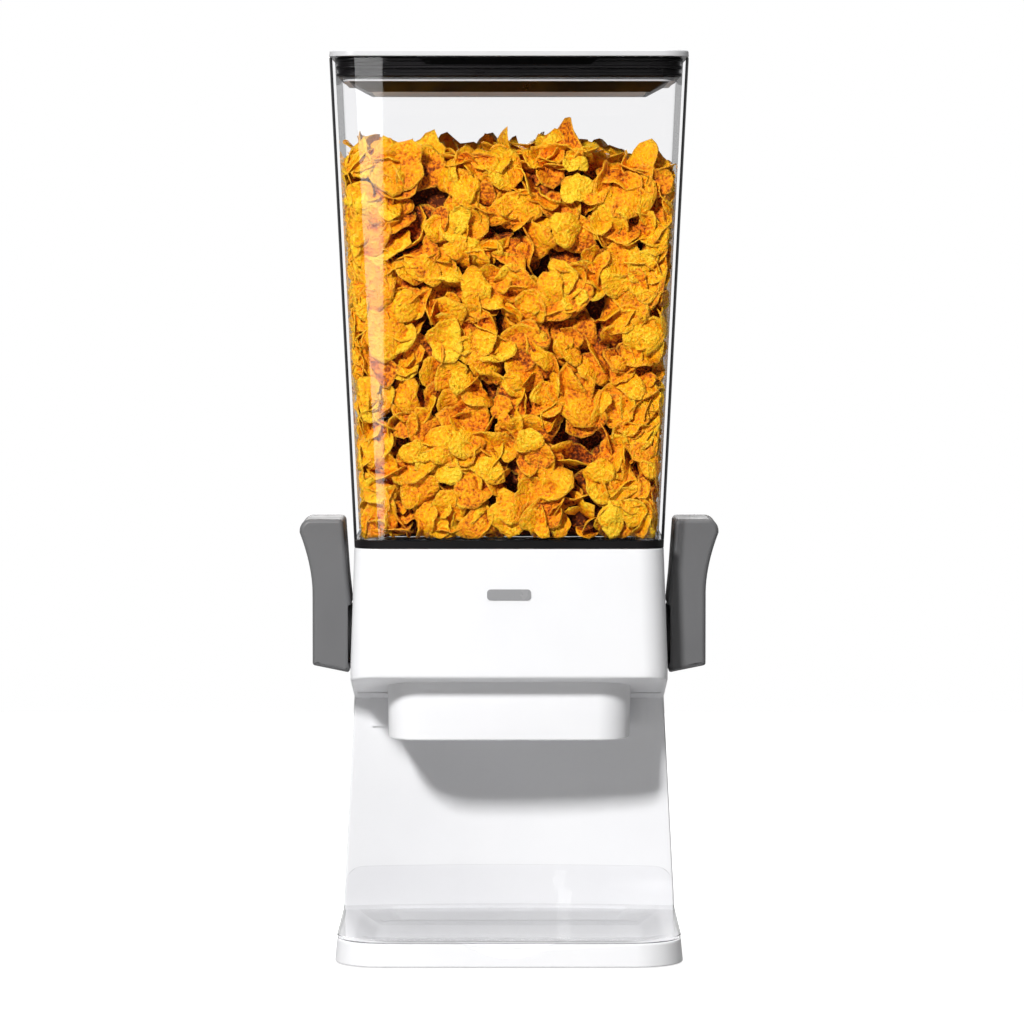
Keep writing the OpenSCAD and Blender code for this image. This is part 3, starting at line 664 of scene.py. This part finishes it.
def base_body():
    """Base with a pocket for the dish of the tray and a recess for the bottom cover."""
    low = Section(base_hi.x, base_lo.y, base_hi.y, BASE_RADIUS, base_lo.z)
    body = skin("base_body", block_rings(low, inset(low, BASE_DRAFT, base_hi.z), 0.8 * MM, 0.9 * MM))
    grow = TRAY_T + TRAY_GAP
    pocket = [ring(inset(DISH_FLOOR, -grow, DISH_FLOOR.z - TRAY_T - 0.05 * MM)),
              ring(inset(DISH_TOP, -grow, RIM_TOP))]
    cover_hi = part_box("base_cover")[1]
    recess = inset(low, WALL, base_lo.z - OVER)
    cut(body, skin("pocket", pocket), *finger_notch(),
        skin("recess", [ring(recess), ring(recess._replace(z=cover_hi.z + SLIVER))]))
    soften(body, 0.3 * MM, 2)
    return finish_piece(freeze(body), "stand", "white_plastic", "base_shell")


def tray_body():
    """Clear tray: a shallow dish in a flat rim, with a curved guard that stands against the column."""
    rim = Section(tray_hi.x, tray_lo.y, tray_hi.y + 20 * MM, BASE_RADIUS - 1 * MM, RIM_TOP - RIM_T)
    tray = skin("tray_body", block_rings(rim, rim._replace(z=RIM_TOP), 0.9 * MM, 0.8 * MM))
    keep_inside(tray, column_space(-TRAY_GAP, 0, tray_hi.z))
    guard = column_space(-TRAY_GAP, RIM_TOP - RIM_T, tray_hi.z + OVER)
    cut(guard, column_space(-TRAY_GAP - GUARD_T, 0, tray_hi.z + 2 * OVER))
    outline = rectangle(base_hi.x - 2 * MM, RIM_TOP - 12 * MM, tray_hi.z, GUARD_RADIUS)
    keep_inside(guard, prism("guard_outline", outline, -20 * MM, tray_hi.y + OVER, "Y"))
    dish = skin("dish", [ring(inset(DISH_FLOOR, -TRAY_T, DISH_FLOOR.z - TRAY_T)),
                         ring(inset(DISH_TOP, -TRAY_T, RIM_TOP - 0.2 * MM))])
    join(tray, guard, dish)
    above = between(DISH_FLOOR, DISH_TOP, RIM_TOP + OVER)
    cut(tray, skin("dish_space", [ring(DISH_FLOOR), ring(above)]))
    soften(tray, 0.6 * MM, 3)
    return finish_piece(freeze(tray), "tray", "tray_plastic", "tray")


def chute_body():
    """Chute under the head, with the flange that closes it against the column."""
    high = CHUTE_FOOT._replace(half=67.3 * MM, z=chute_hi.z)
    flange_z, flange_t, corner = chute_lo.z + 2 * MM, 1.2 * MM, 0.6 * MM
    chute = skin("chute_body", block_rings(CHUTE_FOOT, high, low_fillet=1.1 * MM))
    tail = rectangle(60 * MM, chute_hi.y - 7 * MM, chute_hi.y + OVER, corner)
    flange = rectangle(chute_hi.x, chute_hi.y - 20 * MM, chute_hi.y + OVER, corner)
    flange = prism("flange", flange, flange_z, NECK_Z)
    cut(flange, column_space(-flange_t, 0, head_hi.z))
    join(chute, prism("tail", tail, flange_z, NECK_Z), flange)
    keep_inside(chute, column_space(2 * SLIVER, 0, head_hi.z))
    inner = inset(CHUTE_FOOT, WALL, CHUTE_FOOT.z - OVER)
    inner = inner._replace(half=inner.half - SLIVER)
    cut(chute, skin("passage", [ring(inner), ring(inner._replace(z=chute_hi.z + OVER))]),
        chamber_space(-head_hi.x, head_hi.x))
    soften(chute, 0.5 * MM, 3)
    return finish_piece(freeze(chute), "stand", "white_plastic", "chute")


BIN_SEAT = Section(head_hi.x - HEAD_TAPER, head_lo.y, head_hi.y, HEAD_RADIUS, seal_lo.z)
BIN_RIM = Section(bin_hi.x, bin_lo.y, bin_hi.y, HEAD_RADIUS, bin_hi.z)
FLOOR_Z = seal_lo.z + BIN_FLOOR


def bore(z, clearance=0.0):
    """Inside of the container at a height, less a further clearance."""
    return inset(between(BIN_SEAT, BIN_RIM, z), BIN_WALL + clearance)


def container_body():
    """Clear container with its seat, its outlet spigot and a rounded rim."""
    start = between(BIN_SEAT, BIN_RIM, seal_hi.z + 0.05 * MM)
    body = skin("container_body", block_rings(start, BIN_RIM, 0, 0.8 * MM))
    seat = inset(BIN_SEAT, 3.3 * MM, seal_lo.z + SLIVER)
    spigot_depth = 30 * MM
    spigot = Section(70 * MM, CENTRE_Y - spigot_depth, CENTRE_Y + spigot_depth, 5 * MM, bin_lo.z)
    join(body, skin("seat", [ring(seat), ring(seat._replace(z=FLOOR_Z))]),
         skin("spigot", [ring(spigot), ring(spigot._replace(z=FLOOR_Z))]))
    outlet = inset(spigot, WALL, bin_lo.z - OVER)
    cut(body, skin("inside", [ring(bore(FLOOR_Z)), ring(bore(bin_hi.z + OVER))]),
        skin("outlet", [ring(outlet), ring(outlet._replace(z=FLOOR_Z + OVER))]))
    soften(body, 0.5 * MM, 3)
    finish_piece(freeze(body), "container", "clear_plastic", "container")
    body.data.materials.append(MATERIALS["clear_inside"])
    for face in body.data.polygons:
        x, y, z = face.center
        wall = inset(between(BIN_SEAT, BIN_RIM, z), BIN_WALL / 2)
        if abs(x) < wall.half and wall.front < y < wall.back:
            face.material_index = 1
    return body


def lid_top():
    """White plate of the lid, coloured grey as painted shade, with the round opening for its button."""
    low = BIN_RIM._replace(z=lid_lo.z)
    plate = skin("lid_top", block_rings(low, inset(low, 0.2 * MM, lid_hi.z), 0.3 * MM, 1.0 * MM))
    radius = button_hi.x + 0.4 * MM
    cut(plate, rod("button_opening", radius, (0, CENTRE_Y), lid_lo.z - OVER, lid_hi.z + OVER, "Z"))
    soften(plate, 0.4 * MM, 3)
    return finish_piece(freeze(plate), "lid", "lid_white", "lid_plate")


def gasket_body():
    """Dark gasket, partly dark as painted reflection, with three round ribs and a recess for the fingers in its
    front.
    """
    rib, rib_height, finger_depth = 1.2 * MM, 1.1 * MM, 7 * MM
    middles = [gasket_lo.z + d * MM for d in (1.4, 5.4, 9.6)]
    levels = 56
    rings = []
    for i in range(levels + 1):
        z = gasket_lo.z + (gasket_hi.z - gasket_lo.z) * i / levels
        nearest = min(abs(z - m) for m in middles) / rib_height
        bulge = math.sqrt(max(0.0, 1 - nearest ** 2))
        rings.append(ring(bore(z, GAP + rib * (1 - bulge))))
    gasket = skin("gasket_body", rings)
    z0, z1 = gasket_lo.z + 6.6 * MM, gasket_hi.z + OVER
    recess = [(-44 * MM, z0), (44 * MM, z0), (51 * MM, z1), (-51 * MM, z1)]
    inside = inset(bore(gasket_lo.z), 8 * MM, gasket_lo.z - OVER)
    cut(gasket, prism("finger_recess", recess, gasket_lo.y - OVER, gasket_lo.y + finger_depth, "Y"),
        skin("core", [ring(inside), ring(inside._replace(z=gasket_hi.z + OVER))]))
    soften(gasket, 0.15 * MM, 2)
    return finish_piece(freeze(gasket), "lid", "seal_rubber", "lid_gasket")


def rounded_corners(corners, steps=8):
    """Closed outline through (x, y, radius) corners, each one replaced by an arc of its radius."""
    points = []
    for i, (x, y, radius) in enumerate(corners):
        here = Vector((x, y))
        back = Vector(corners[i - 1][:2]) - here
        ahead = Vector(corners[(i + 1) % len(corners)][:2]) - here
        if radius == 0:
            points.append(here)
            continue
        half = back.angle(ahead) / 2
        reach = radius / math.tan(half)
        centre = here + (back.normalized() + ahead.normalized()).normalized() * radius / math.sin(half)
        start = here + back.normalized() * reach - centre
        turn = (here + ahead.normalized() * reach - centre).angle_signed(start)
        for k in range(steps + 1):
            points.append(centre + Matrix.Rotation(turn * k / steps, 2) @ start)
    return points


def shrunk(outline, distance):
    """Anticlockwise outline moved inwards by a distance, along the normals of its corners."""
    moved = []
    for i, here in enumerate(outline):
        back = (here - outline[i - 1]).normalized()
        ahead = (outline[(i + 1) % len(outline)] - here).normalized()
        normal = Vector((-back.y - ahead.y, back.x + ahead.x)).normalized()
        mitre = max(normal.dot(Vector((-back.y, back.x))), 0.5)
        moved.append(here + normal * distance / mitre)
    return moved


def handle_outline():
    """Front outline of the right handle: straight below, flaring outwards to its top."""
    foot_in = head_hi.x + 1.2 * MM
    out, low_out = handle_hi.x, handle_hi.x - 7 * MM
    bottom, top = handle_lo.z, handle_hi.z
    flare_top, flare_height = top - 7.5 * MM, 33 * MM
    steps = 10
    flare = []
    for i in range(steps + 1):
        t = i / steps
        flare.append((low_out + (out - low_out) * t ** 1.8, flare_top - flare_height * (1 - t), 0))
    corners = [(foot_in, bottom, 1.2 * MM), (low_out, bottom + 4.2 * MM, 1.6 * MM)] + flare
    corners += [(out, top, 6.4 * MM), (foot_in + 3.2 * MM, top, 3 * MM),
                (foot_in + 1.0 * MM, pivot.z + 33 * MM, 0), (foot_in - 0.6 * MM, pivot.z + 17.5 * MM, 0),
                (foot_in, pivot.z - 16 * MM, 0)]
    return rounded_corners(corners)


def handle_body(side):
    """One handle; side is 1 on the right and -1 on the left."""
    name = "right" if side > 0 else "left"
    outline = handle_outline()
    front, back = handle_lo.y, handle_hi.y
    steps = fillet(2.4 * MM)
    slices = [(i, front + d) for i, d in steps] + [(i, back - d) for i, d in reversed(steps)]
    rings = [[Vector((side * x, y, z)) for x, z in shrunk(outline, i)] for i, y in slices]
    handle = skin(f"handle_grip_{name}", rings)
    inner, recess = head_hi.x, head_hi.x + 2.1 * MM
    gap = rectangle(recess - inner, pivot.z - 16.5 * MM, pivot.z + 16.5 * MM, 1 * MM)
    gap = [(side * (inner + x), z) for x, z in gap]
    cap_radius, cap_seat = (cap_hi.z - cap_lo.z) / 2 + SLIVER, cap_hi.x - 2.4 * MM
    cut(handle, prism("gap", gap, front - OVER, back + OVER, "Y"),
        rod("cap_hole", cap_radius, (pivot.y, pivot.z), side * cap_seat, side * handle_hi.x))
    soften(handle, 0.4 * MM, 3)
    finish_piece(freeze(handle), "rotor", "handle_grey", f"handle_{name}", f"handle_plate_{name}")
    slit_shade_collar(side, name)


def slit_shade_collar(side, name):
    """Collar on the shaft, in the slit between a handle and the head, near black as painted shade for the shaded
    slit.
    """
    radius, start, end = 16.3 * MM, head_hi.x + 0.4 * MM, head_hi.x + 5 * MM
    collar = rod(f"slit_shade_collar_{name}", radius, (pivot.y, pivot.z), side * start, side * end)
    soften(collar, 0.3 * MM, 2)
    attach(freeze(collar), "rotor")
    # near-black plastic here is painted shade for the slit
    collar.data.materials.append(MATERIALS["bush_plastic"])


stand_body()
underside()
base_body()
tray_body()
chute_body()
container_body()
lid_top()
gasket_body()
handle_body(-1)
handle_body(1)


# ---------------------------------------------------------------- cereal

FLAKE_RINGS = 6
FLAKE_SPOKES = 20
FLAKE_KINDS = 14
SIDE_POINTS = 1 + FLAKE_RINGS * FLAKE_SPOKES
WALL_FLAKES = 1850
TOP_FLAKES = 320
CEREAL_TOP = 431 * MM
CLEARANCE = 0.4 * MM
SEED = 7
seeded = random.Random(SEED)


def flake_faces():
    """Faces of one flake: an upper side, a lower side and the rim between them."""
    faces = []

    def point(level, spoke, side):
        start = side * SIDE_POINTS
        return start if level == 0 else start + 1 + (level - 1) * FLAKE_SPOKES + spoke % FLAKE_SPOKES

    for side in (0, 1):
        for level in range(FLAKE_RINGS):
            for spoke in range(FLAKE_SPOKES):
                quad = [point(level, spoke, side), point(level + 1, spoke, side),
                        point(level + 1, spoke + 1, side), point(level, spoke + 1, side)]
                quad = quad[:3] if level == 0 else quad
                faces.append(quad if side == 0 else quad[::-1])
    for spoke in range(FLAKE_SPOKES):
        faces.append([point(FLAKE_RINGS, spoke, 0), point(FLAKE_RINGS, spoke, 1),
                      point(FLAKE_RINGS, spoke + 1, 1), point(FLAKE_RINGS, spoke + 1, 0)])
    return faces


def flake_kind():
    """Points of one curled and blistered flake with a ragged outline, and how near each is to its rim."""
    uniform = seeded.uniform
    lobes = [(n, uniform(0, math.tau), uniform(0.4, 1) * size)
             for n, size in ((2, 0.20), (3, 0.13), (5, 0.06), (7, 0.05), (9, 0.04))]
    cup, fold, twist = uniform(0.02, 0.28), uniform(-0.35, 0.5), uniform(-0.3, 0.3)
    ripple, ripple_turn = uniform(0.03, 0.1), uniform(0, math.tau)
    blisters = [(uniform(-0.7, 0.7), uniform(-0.7, 0.7), uniform(0.15, 0.3), uniform(-0.11, 0.17))
                for _ in range(13)]
    upper, lower, rim = [], [], []
    for level in range(FLAKE_RINGS + 1):
        for spoke in range(1 if level == 0 else FLAKE_SPOKES):
            share = level / FLAKE_RINGS
            turn = math.tau * spoke / FLAKE_SPOKES
            reach = share * (1 + sum(a * math.sin(n * turn + phase) for n, phase, a in lobes))
            x, y = reach * math.cos(turn), 0.82 * reach * math.sin(turn)
            z = cup * (x * x + y * y) + fold * x * x * (1 + 0.4 * y) + twist * x * y
            z += ripple * share ** 3 * math.sin(4 * turn + ripple_turn)
            z += sum(h * math.exp(-((x - a) ** 2 + (y - b) ** 2) / w ** 2) for a, b, w, h in blisters)
            z -= 0.3 * cup
            thickness = 0.055 * (1 - 0.55 * share ** 2)
            upper.append((x, y, z + thickness))
            lower.append((x, y, z - thickness))
            rim.append(share)
    return np.array(upper + lower), np.array(rim + rim)


def turned_to(normal, spin):
    """Matrix that turns a flake's own Z to a direction, after a spin about it."""
    return np.array(normal.to_track_quat("Z", "Y").to_matrix() @ Matrix.Rotation(spin, 3, "Z"))


def tilted(direction, tilt):
    """A direction turned away from its start by a random tilt in radians."""
    side = Vector([seeded.gauss(0, 1) for _ in range(3)]).cross(direction).normalized()
    return (direction * math.cos(tilt) + side * math.sin(tilt)).normalized()


def pile_top(x, y):
    """Height of the uneven top of the cereal."""
    return CEREAL_TOP + MM * (3.0 * math.sin(31 * x + 1.0) + 2.5 * math.sin(77 * x + 55 * y)
                              + 2.0 * math.sin(140 * x - 60 * y + 2.0) + 4 - 9 * x * abs(x) / 0.01)


def flake_size():
    """Radius of one flake."""
    return min(max(seeded.gauss(10.0, 2.5), 4.5), 14.5) * MM


def wall_flakes(count):
    """Places of flakes at the walls, half of them against the wall and the others behind those."""
    places = []
    while len(places) < count:
        z = seeded.uniform(FLOOR_Z, CEREAL_TOP + 2 * MM)
        wall = bore(z, CLEARANCE)
        width, depth = 2 * wall.half, wall.back - wall.front
        along = seeded.uniform(0, 2 * (width + depth))
        tilt = abs(seeded.gauss(0.1, 0.5)) if seeded.random() < 0.68 else seeded.uniform(0.5, 1.5)
        bury = seeded.uniform(0, 1.5) * MM if seeded.random() < 0.5 else seeded.uniform(2, 15) * MM
        if along < width:
            spot, out = Vector((along - wall.half, wall.front + bury, z)), Vector((0, -1, 0))
        elif along < 2 * width:
            spot, out = Vector((along - width - wall.half, wall.back - bury, z)), Vector((0, 1, 0))
        elif along < 2 * width + depth:
            spot, out = Vector((wall.half - bury, wall.front + along - 2 * width, z)), Vector((1, 0, 0))
        else:
            spot = Vector((bury - wall.half, wall.front + along - 2 * width - depth, z))
            out = Vector((-1, 0, 0))
        if z < pile_top(spot.x, spot.y) - 2 * MM:
            places.append((spot, tilted(out, tilt), flake_size()))
    return places


def top_flakes(count):
    """Places of the flakes that lie on top of the pile."""
    places = []
    wall = bore(CEREAL_TOP, 5 * MM)
    upwards = Vector((0, 0, 1))
    for _ in range(count):
        x = seeded.uniform(-wall.half, wall.half)
        y = seeded.uniform(wall.front, wall.back)
        z = pile_top(x, y) - seeded.uniform(0, 10) * MM
        normal = tilted(upwards, abs(seeded.gauss(0.2, 0.6)))
        places.append((Vector((x, y, z)), normal, flake_size()))
    return places


def held_inside(points):
    """Points moved back inside the bore of the container where they reach past it."""
    z = np.clip(points[:, 2], FLOOR_Z + CLEARANCE, None)
    t = (z - BIN_SEAT.z) / (BIN_RIM.z - BIN_SEAT.z)
    low = np.array(inset(BIN_SEAT, BIN_WALL + CLEARANCE))
    high = np.array(inset(BIN_RIM, BIN_WALL + CLEARANCE))
    half, front, back, radius = (low[k] + (high[k] - low[k]) * t for k in range(4))
    x = np.clip(points[:, 0], -half, half)
    y = np.clip(points[:, 1], front, back)
    corner_x = np.sign(x) * (half - radius)
    corner_y = np.where(y < CENTRE_Y, front + radius, back - radius)
    dx, dy = x - corner_x, y - corner_y
    beyond = (np.abs(x) > half - radius) & ((y < front + radius) | (y > back - radius))
    reach = np.maximum(np.hypot(dx, dy), 1e-9)
    pull = np.where(beyond & (reach > radius), radius / reach, 1.0)
    x = np.where(beyond, corner_x + dx * pull, x)
    y = np.where(beyond, corner_y + dy * pull, y)
    return np.column_stack((x, y, z))


def painted_depth_shade(points):
    """Painted shade: how much of its tone a point keeps, all of it at a wall or at the top, little deep in the
    pile.
    """
    walls = [bore(max(float(z), FLOOR_Z), CLEARANCE) for z in points[:, 2]]
    half = np.array([wall.half for wall in walls])
    front = np.array([wall.front for wall in walls])
    back = np.array([wall.back for wall in walls])
    beside = np.minimum.reduce((half - np.abs(points[:, 0]), points[:, 1] - front, back - points[:, 1]))
    under = np.array([pile_top(x, y) for x, y in points[:, :2]]) - points[:, 2]
    depth = np.maximum(np.minimum(beside, under + 3 * MM), 0)
    bright, dark, loss = 2 * MM, 13 * MM, 0.8
    return 1 - loss * np.clip((depth - bright) / (dark - bright), 0, 1)


def flakes_piece(name, places, kinds, faces):
    """One object with a flake at each place, and the attributes that its material reads."""
    count = 2 * SIDE_POINTS
    points, tones, rims = [], [], []
    for spot, normal, size in places:
        shape, rim = kinds[seeded.randrange(len(kinds))]
        scale = np.array([size, size, size * seeded.uniform(0.75, 1.1)])
        turn = turned_to(normal if seeded.random() < 0.6 else -normal, seeded.uniform(0, math.tau))
        flake = (shape * scale) @ turn.T + np.array(spot)
        low, high = flake.min(axis=0), flake.max(axis=0)
        wall = bore(max(float(low[2]), FLOOR_Z), CLEARANCE)
        inner_low = np.array((-wall.half, wall.front, FLOOR_Z + CLEARANCE))
        inner_high = np.array((wall.half, wall.back, bin_hi.z))
        flake += np.maximum(inner_low - low, 0) - np.maximum(high - inner_high, 0)
        points.append(flake)
        tones.append(np.full(count, min(max(seeded.gauss(0.74, 0.15), 0.35), 1.0)))
        rims.append(rim)
    corners = held_inside(np.concatenate(points))
    data = bpy.data.meshes.new(name)
    all_faces = [[i + k * count for i in face] for k in range(len(places)) for face in faces]
    data.from_pydata(corners.tolist(), [], all_faces)
    # the tone attribute is each flake's random tone darkened with its depth in the pile: painted shade
    tone_with_painted_shade = np.concatenate(tones) * painted_depth_shade(corners)
    for attribute, values in (("tone", tone_with_painted_shade), ("rim", np.concatenate(rims))):
        layer = data.attributes.new(attribute, "FLOAT", "POINT")
        layer.data.foreach_set("value", values.astype(np.float32))
    data.polygons.foreach_set("use_smooth", [True] * len(data.polygons))
    piece = new_object(name, data)
    data.materials.append(MATERIALS["toasted_corn"])
    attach(piece, "container")
    return piece


def cereal_core():
    """Middle of the pile, hidden behind its flakes; with no tone attribute it takes the dark end of the corn ramp,
    painted shade for the inside of the pile.
    """
    core_inset, floor_gap, top_gap = 19 * MM, 2 * MM, 13 * MM
    low, high = bore(FLOOR_Z + floor_gap, core_inset), bore(CEREAL_TOP - top_gap, core_inset)
    levels, unevenness = 24, 1.2
    rings = []
    for i in range(levels + 1):
        z = low.z + (high.z - low.z) * i / levels
        rings.append([p + Vector((seeded.gauss(0, unevenness), seeded.gauss(0, unevenness), 0)) * MM
                      for p in ring(between(low, high, z))])
    core = skin("cereal_core", rings)
    # its dark colour is painted shade
    core.data.materials.append(MATERIALS["toasted_corn"])
    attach(core, "container")


def cereal():
    """Corn flakes up to an uneven top, with their flakes packed against the clear walls."""
    kinds = [flake_kind() for _ in range(FLAKE_KINDS)]
    faces = flake_faces()
    groups = {}
    for spot, normal, size in wall_flakes(WALL_FLAKES):
        if abs(spot.x) / BIN_SEAT.half > abs(spot.y - CENTRE_Y) / (CENTRE_Y - BIN_SEAT.front):
            side = "right" if spot.x > 0 else "left"
        else:
            side = "front" if spot.y < CENTRE_Y else "back"
        level = "low" if spot.z < (FLOOR_Z + CEREAL_TOP) / 2 else "high"
        groups.setdefault(f"cereal_{side}_{level}", []).append((spot, normal, size))
    groups["cereal_top"] = top_flakes(TOP_FLAKES)
    for name, places in groups.items():
        flakes_piece(name, places, kinds, faces)
    cereal_core()


cereal()


# ---------------------------------------------------------------- carried-over CAD nodes

def dress_nodes():
    """Materials and softened edges for the CAD nodes that are shown."""
    for part in frame["record"]["subparts"]:
        node = frame["nodes"][part["node"]]
        if node.hide_render:
            continue
        for slot in node.material_slots:
            slot.material = MATERIALS[part["material_slot"]]
        soften(node, 0.3 * MM, 2, weld=True)


dress_nodes()


# ---------------------------------------------------------------- stage, lights and camera

def table():
    """White table that the object stands on, lit up for the camera alone."""
    half = 1.3
    mesh = bmesh.new()
    corners = [(-half, -half, 0), (half, -half, 0), (half, half, 0), (-half, half, 0)]
    mesh.faces.new([mesh.verts.new(corner) for corner in corners])
    floor = place("floor", mesh)
    material, tree, shader = new_material("table_white", Roughness=0.6, Emission_Color=(1, 1, 1, 1))
    grey = ramp(tree, noise(tree, 3), (NOISE_LOW, (0.3, 0.3, 0.3)), (NOISE_HIGH, (0.33, 0.33, 0.33)))
    tree.links.new(grey, shader.inputs["Base Color"])
    seen = tree.nodes.new("ShaderNodeLightPath")
    tree.links.new(spread(tree, seen.outputs["Is Camera Ray"], 0, 1, 0, 0.9),
                   shader.inputs["Emission Strength"])
    floor.data.materials.append(material)


def surroundings():
    """Soft light from behind and above; the camera sees plain white."""
    world = bpy.data.worlds.new("studio")
    world.use_nodes = True
    bpy.context.scene.world = world
    tree = world.node_tree
    background = tree.nodes["Background"]
    background.inputs["Color"].default_value = (1, 1, 1, 1)
    place_of = tree.nodes.new("ShaderNodeTexCoord")
    axes = tree.nodes.new("ShaderNodeSeparateXYZ")
    tree.links.new(place_of.outputs["Generated"], axes.inputs["Vector"])
    behind = spread(tree, axes.outputs["Y"], -0.1, 0.6, 0.02, 0.45)
    above = spread(tree, axes.outputs["Z"], 0.3, 1.0, 0.0, 0.2)
    room = math_node(tree, "ADD", behind, above)
    ray = tree.nodes.new("ShaderNodeLightPath")
    seen = math_node(tree, "MAXIMUM", room, ray.outputs["Is Camera Ray"])
    tree.links.new(seen, background.inputs["Strength"])


def lamp(name, place_at, target, size, power, shape="SQUARE", size_y=None):
    """Area lamp of a power in watts, turned to a target and not seen by the camera."""
    light = bpy.data.lights.new(name, "AREA")
    light.shape = shape
    light.size = size
    if size_y:
        light.size_y = size_y
    light.energy = power
    lamp_object = new_object(name, light)
    lamp_object.location = place_at
    lamp_object.rotation_euler = (Vector(target) - Vector(place_at)).to_track_quat("-Z", "Y").to_euler()
    lamp_object.visible_camera = False


def lights():
    """Key light at the front left, soft light above and behind, and a strip for the reflection."""
    middle = Vector((0, CENTRE_Y, 0.25))
    key_direction = Vector((-0.33, -0.82, 0.47)).normalized()
    key_distance = 2.4
    lamp("key", middle + key_distance * key_direction, middle, 0.28, 71)
    lamp("overhead", (0, 0, 1.8), (0, 0, 0.2), 1.0, 24)
    lamp("strip", (-0.111, -1.05, 0.27), (-0.09, 0, 0.3), 0.028, 0.27, "RECTANGLE", 0.5)
    lamp("back", (-0.2, 2.2, 1.1), middle, 1.0, 13)


def camera():
    """Camera in front of the base, level with the upper half of the container, turned slightly down."""
    distance, aside, height, turned_down = 2.5, 0.0016, 0.384, 3.185
    data = bpy.data.cameras.new("camera")
    data.sensor_width = 36.0
    data.lens = 165.5
    view = new_object("camera", data)
    view.location = (aside, base_lo.y - distance, height)
    view.rotation_euler = (math.radians(90 - turned_down), 0, 0)
    bpy.context.scene.camera = view


table()
surroundings()
lights()
camera()
bpy.context.scene.view_settings.view_transform = "Standard"
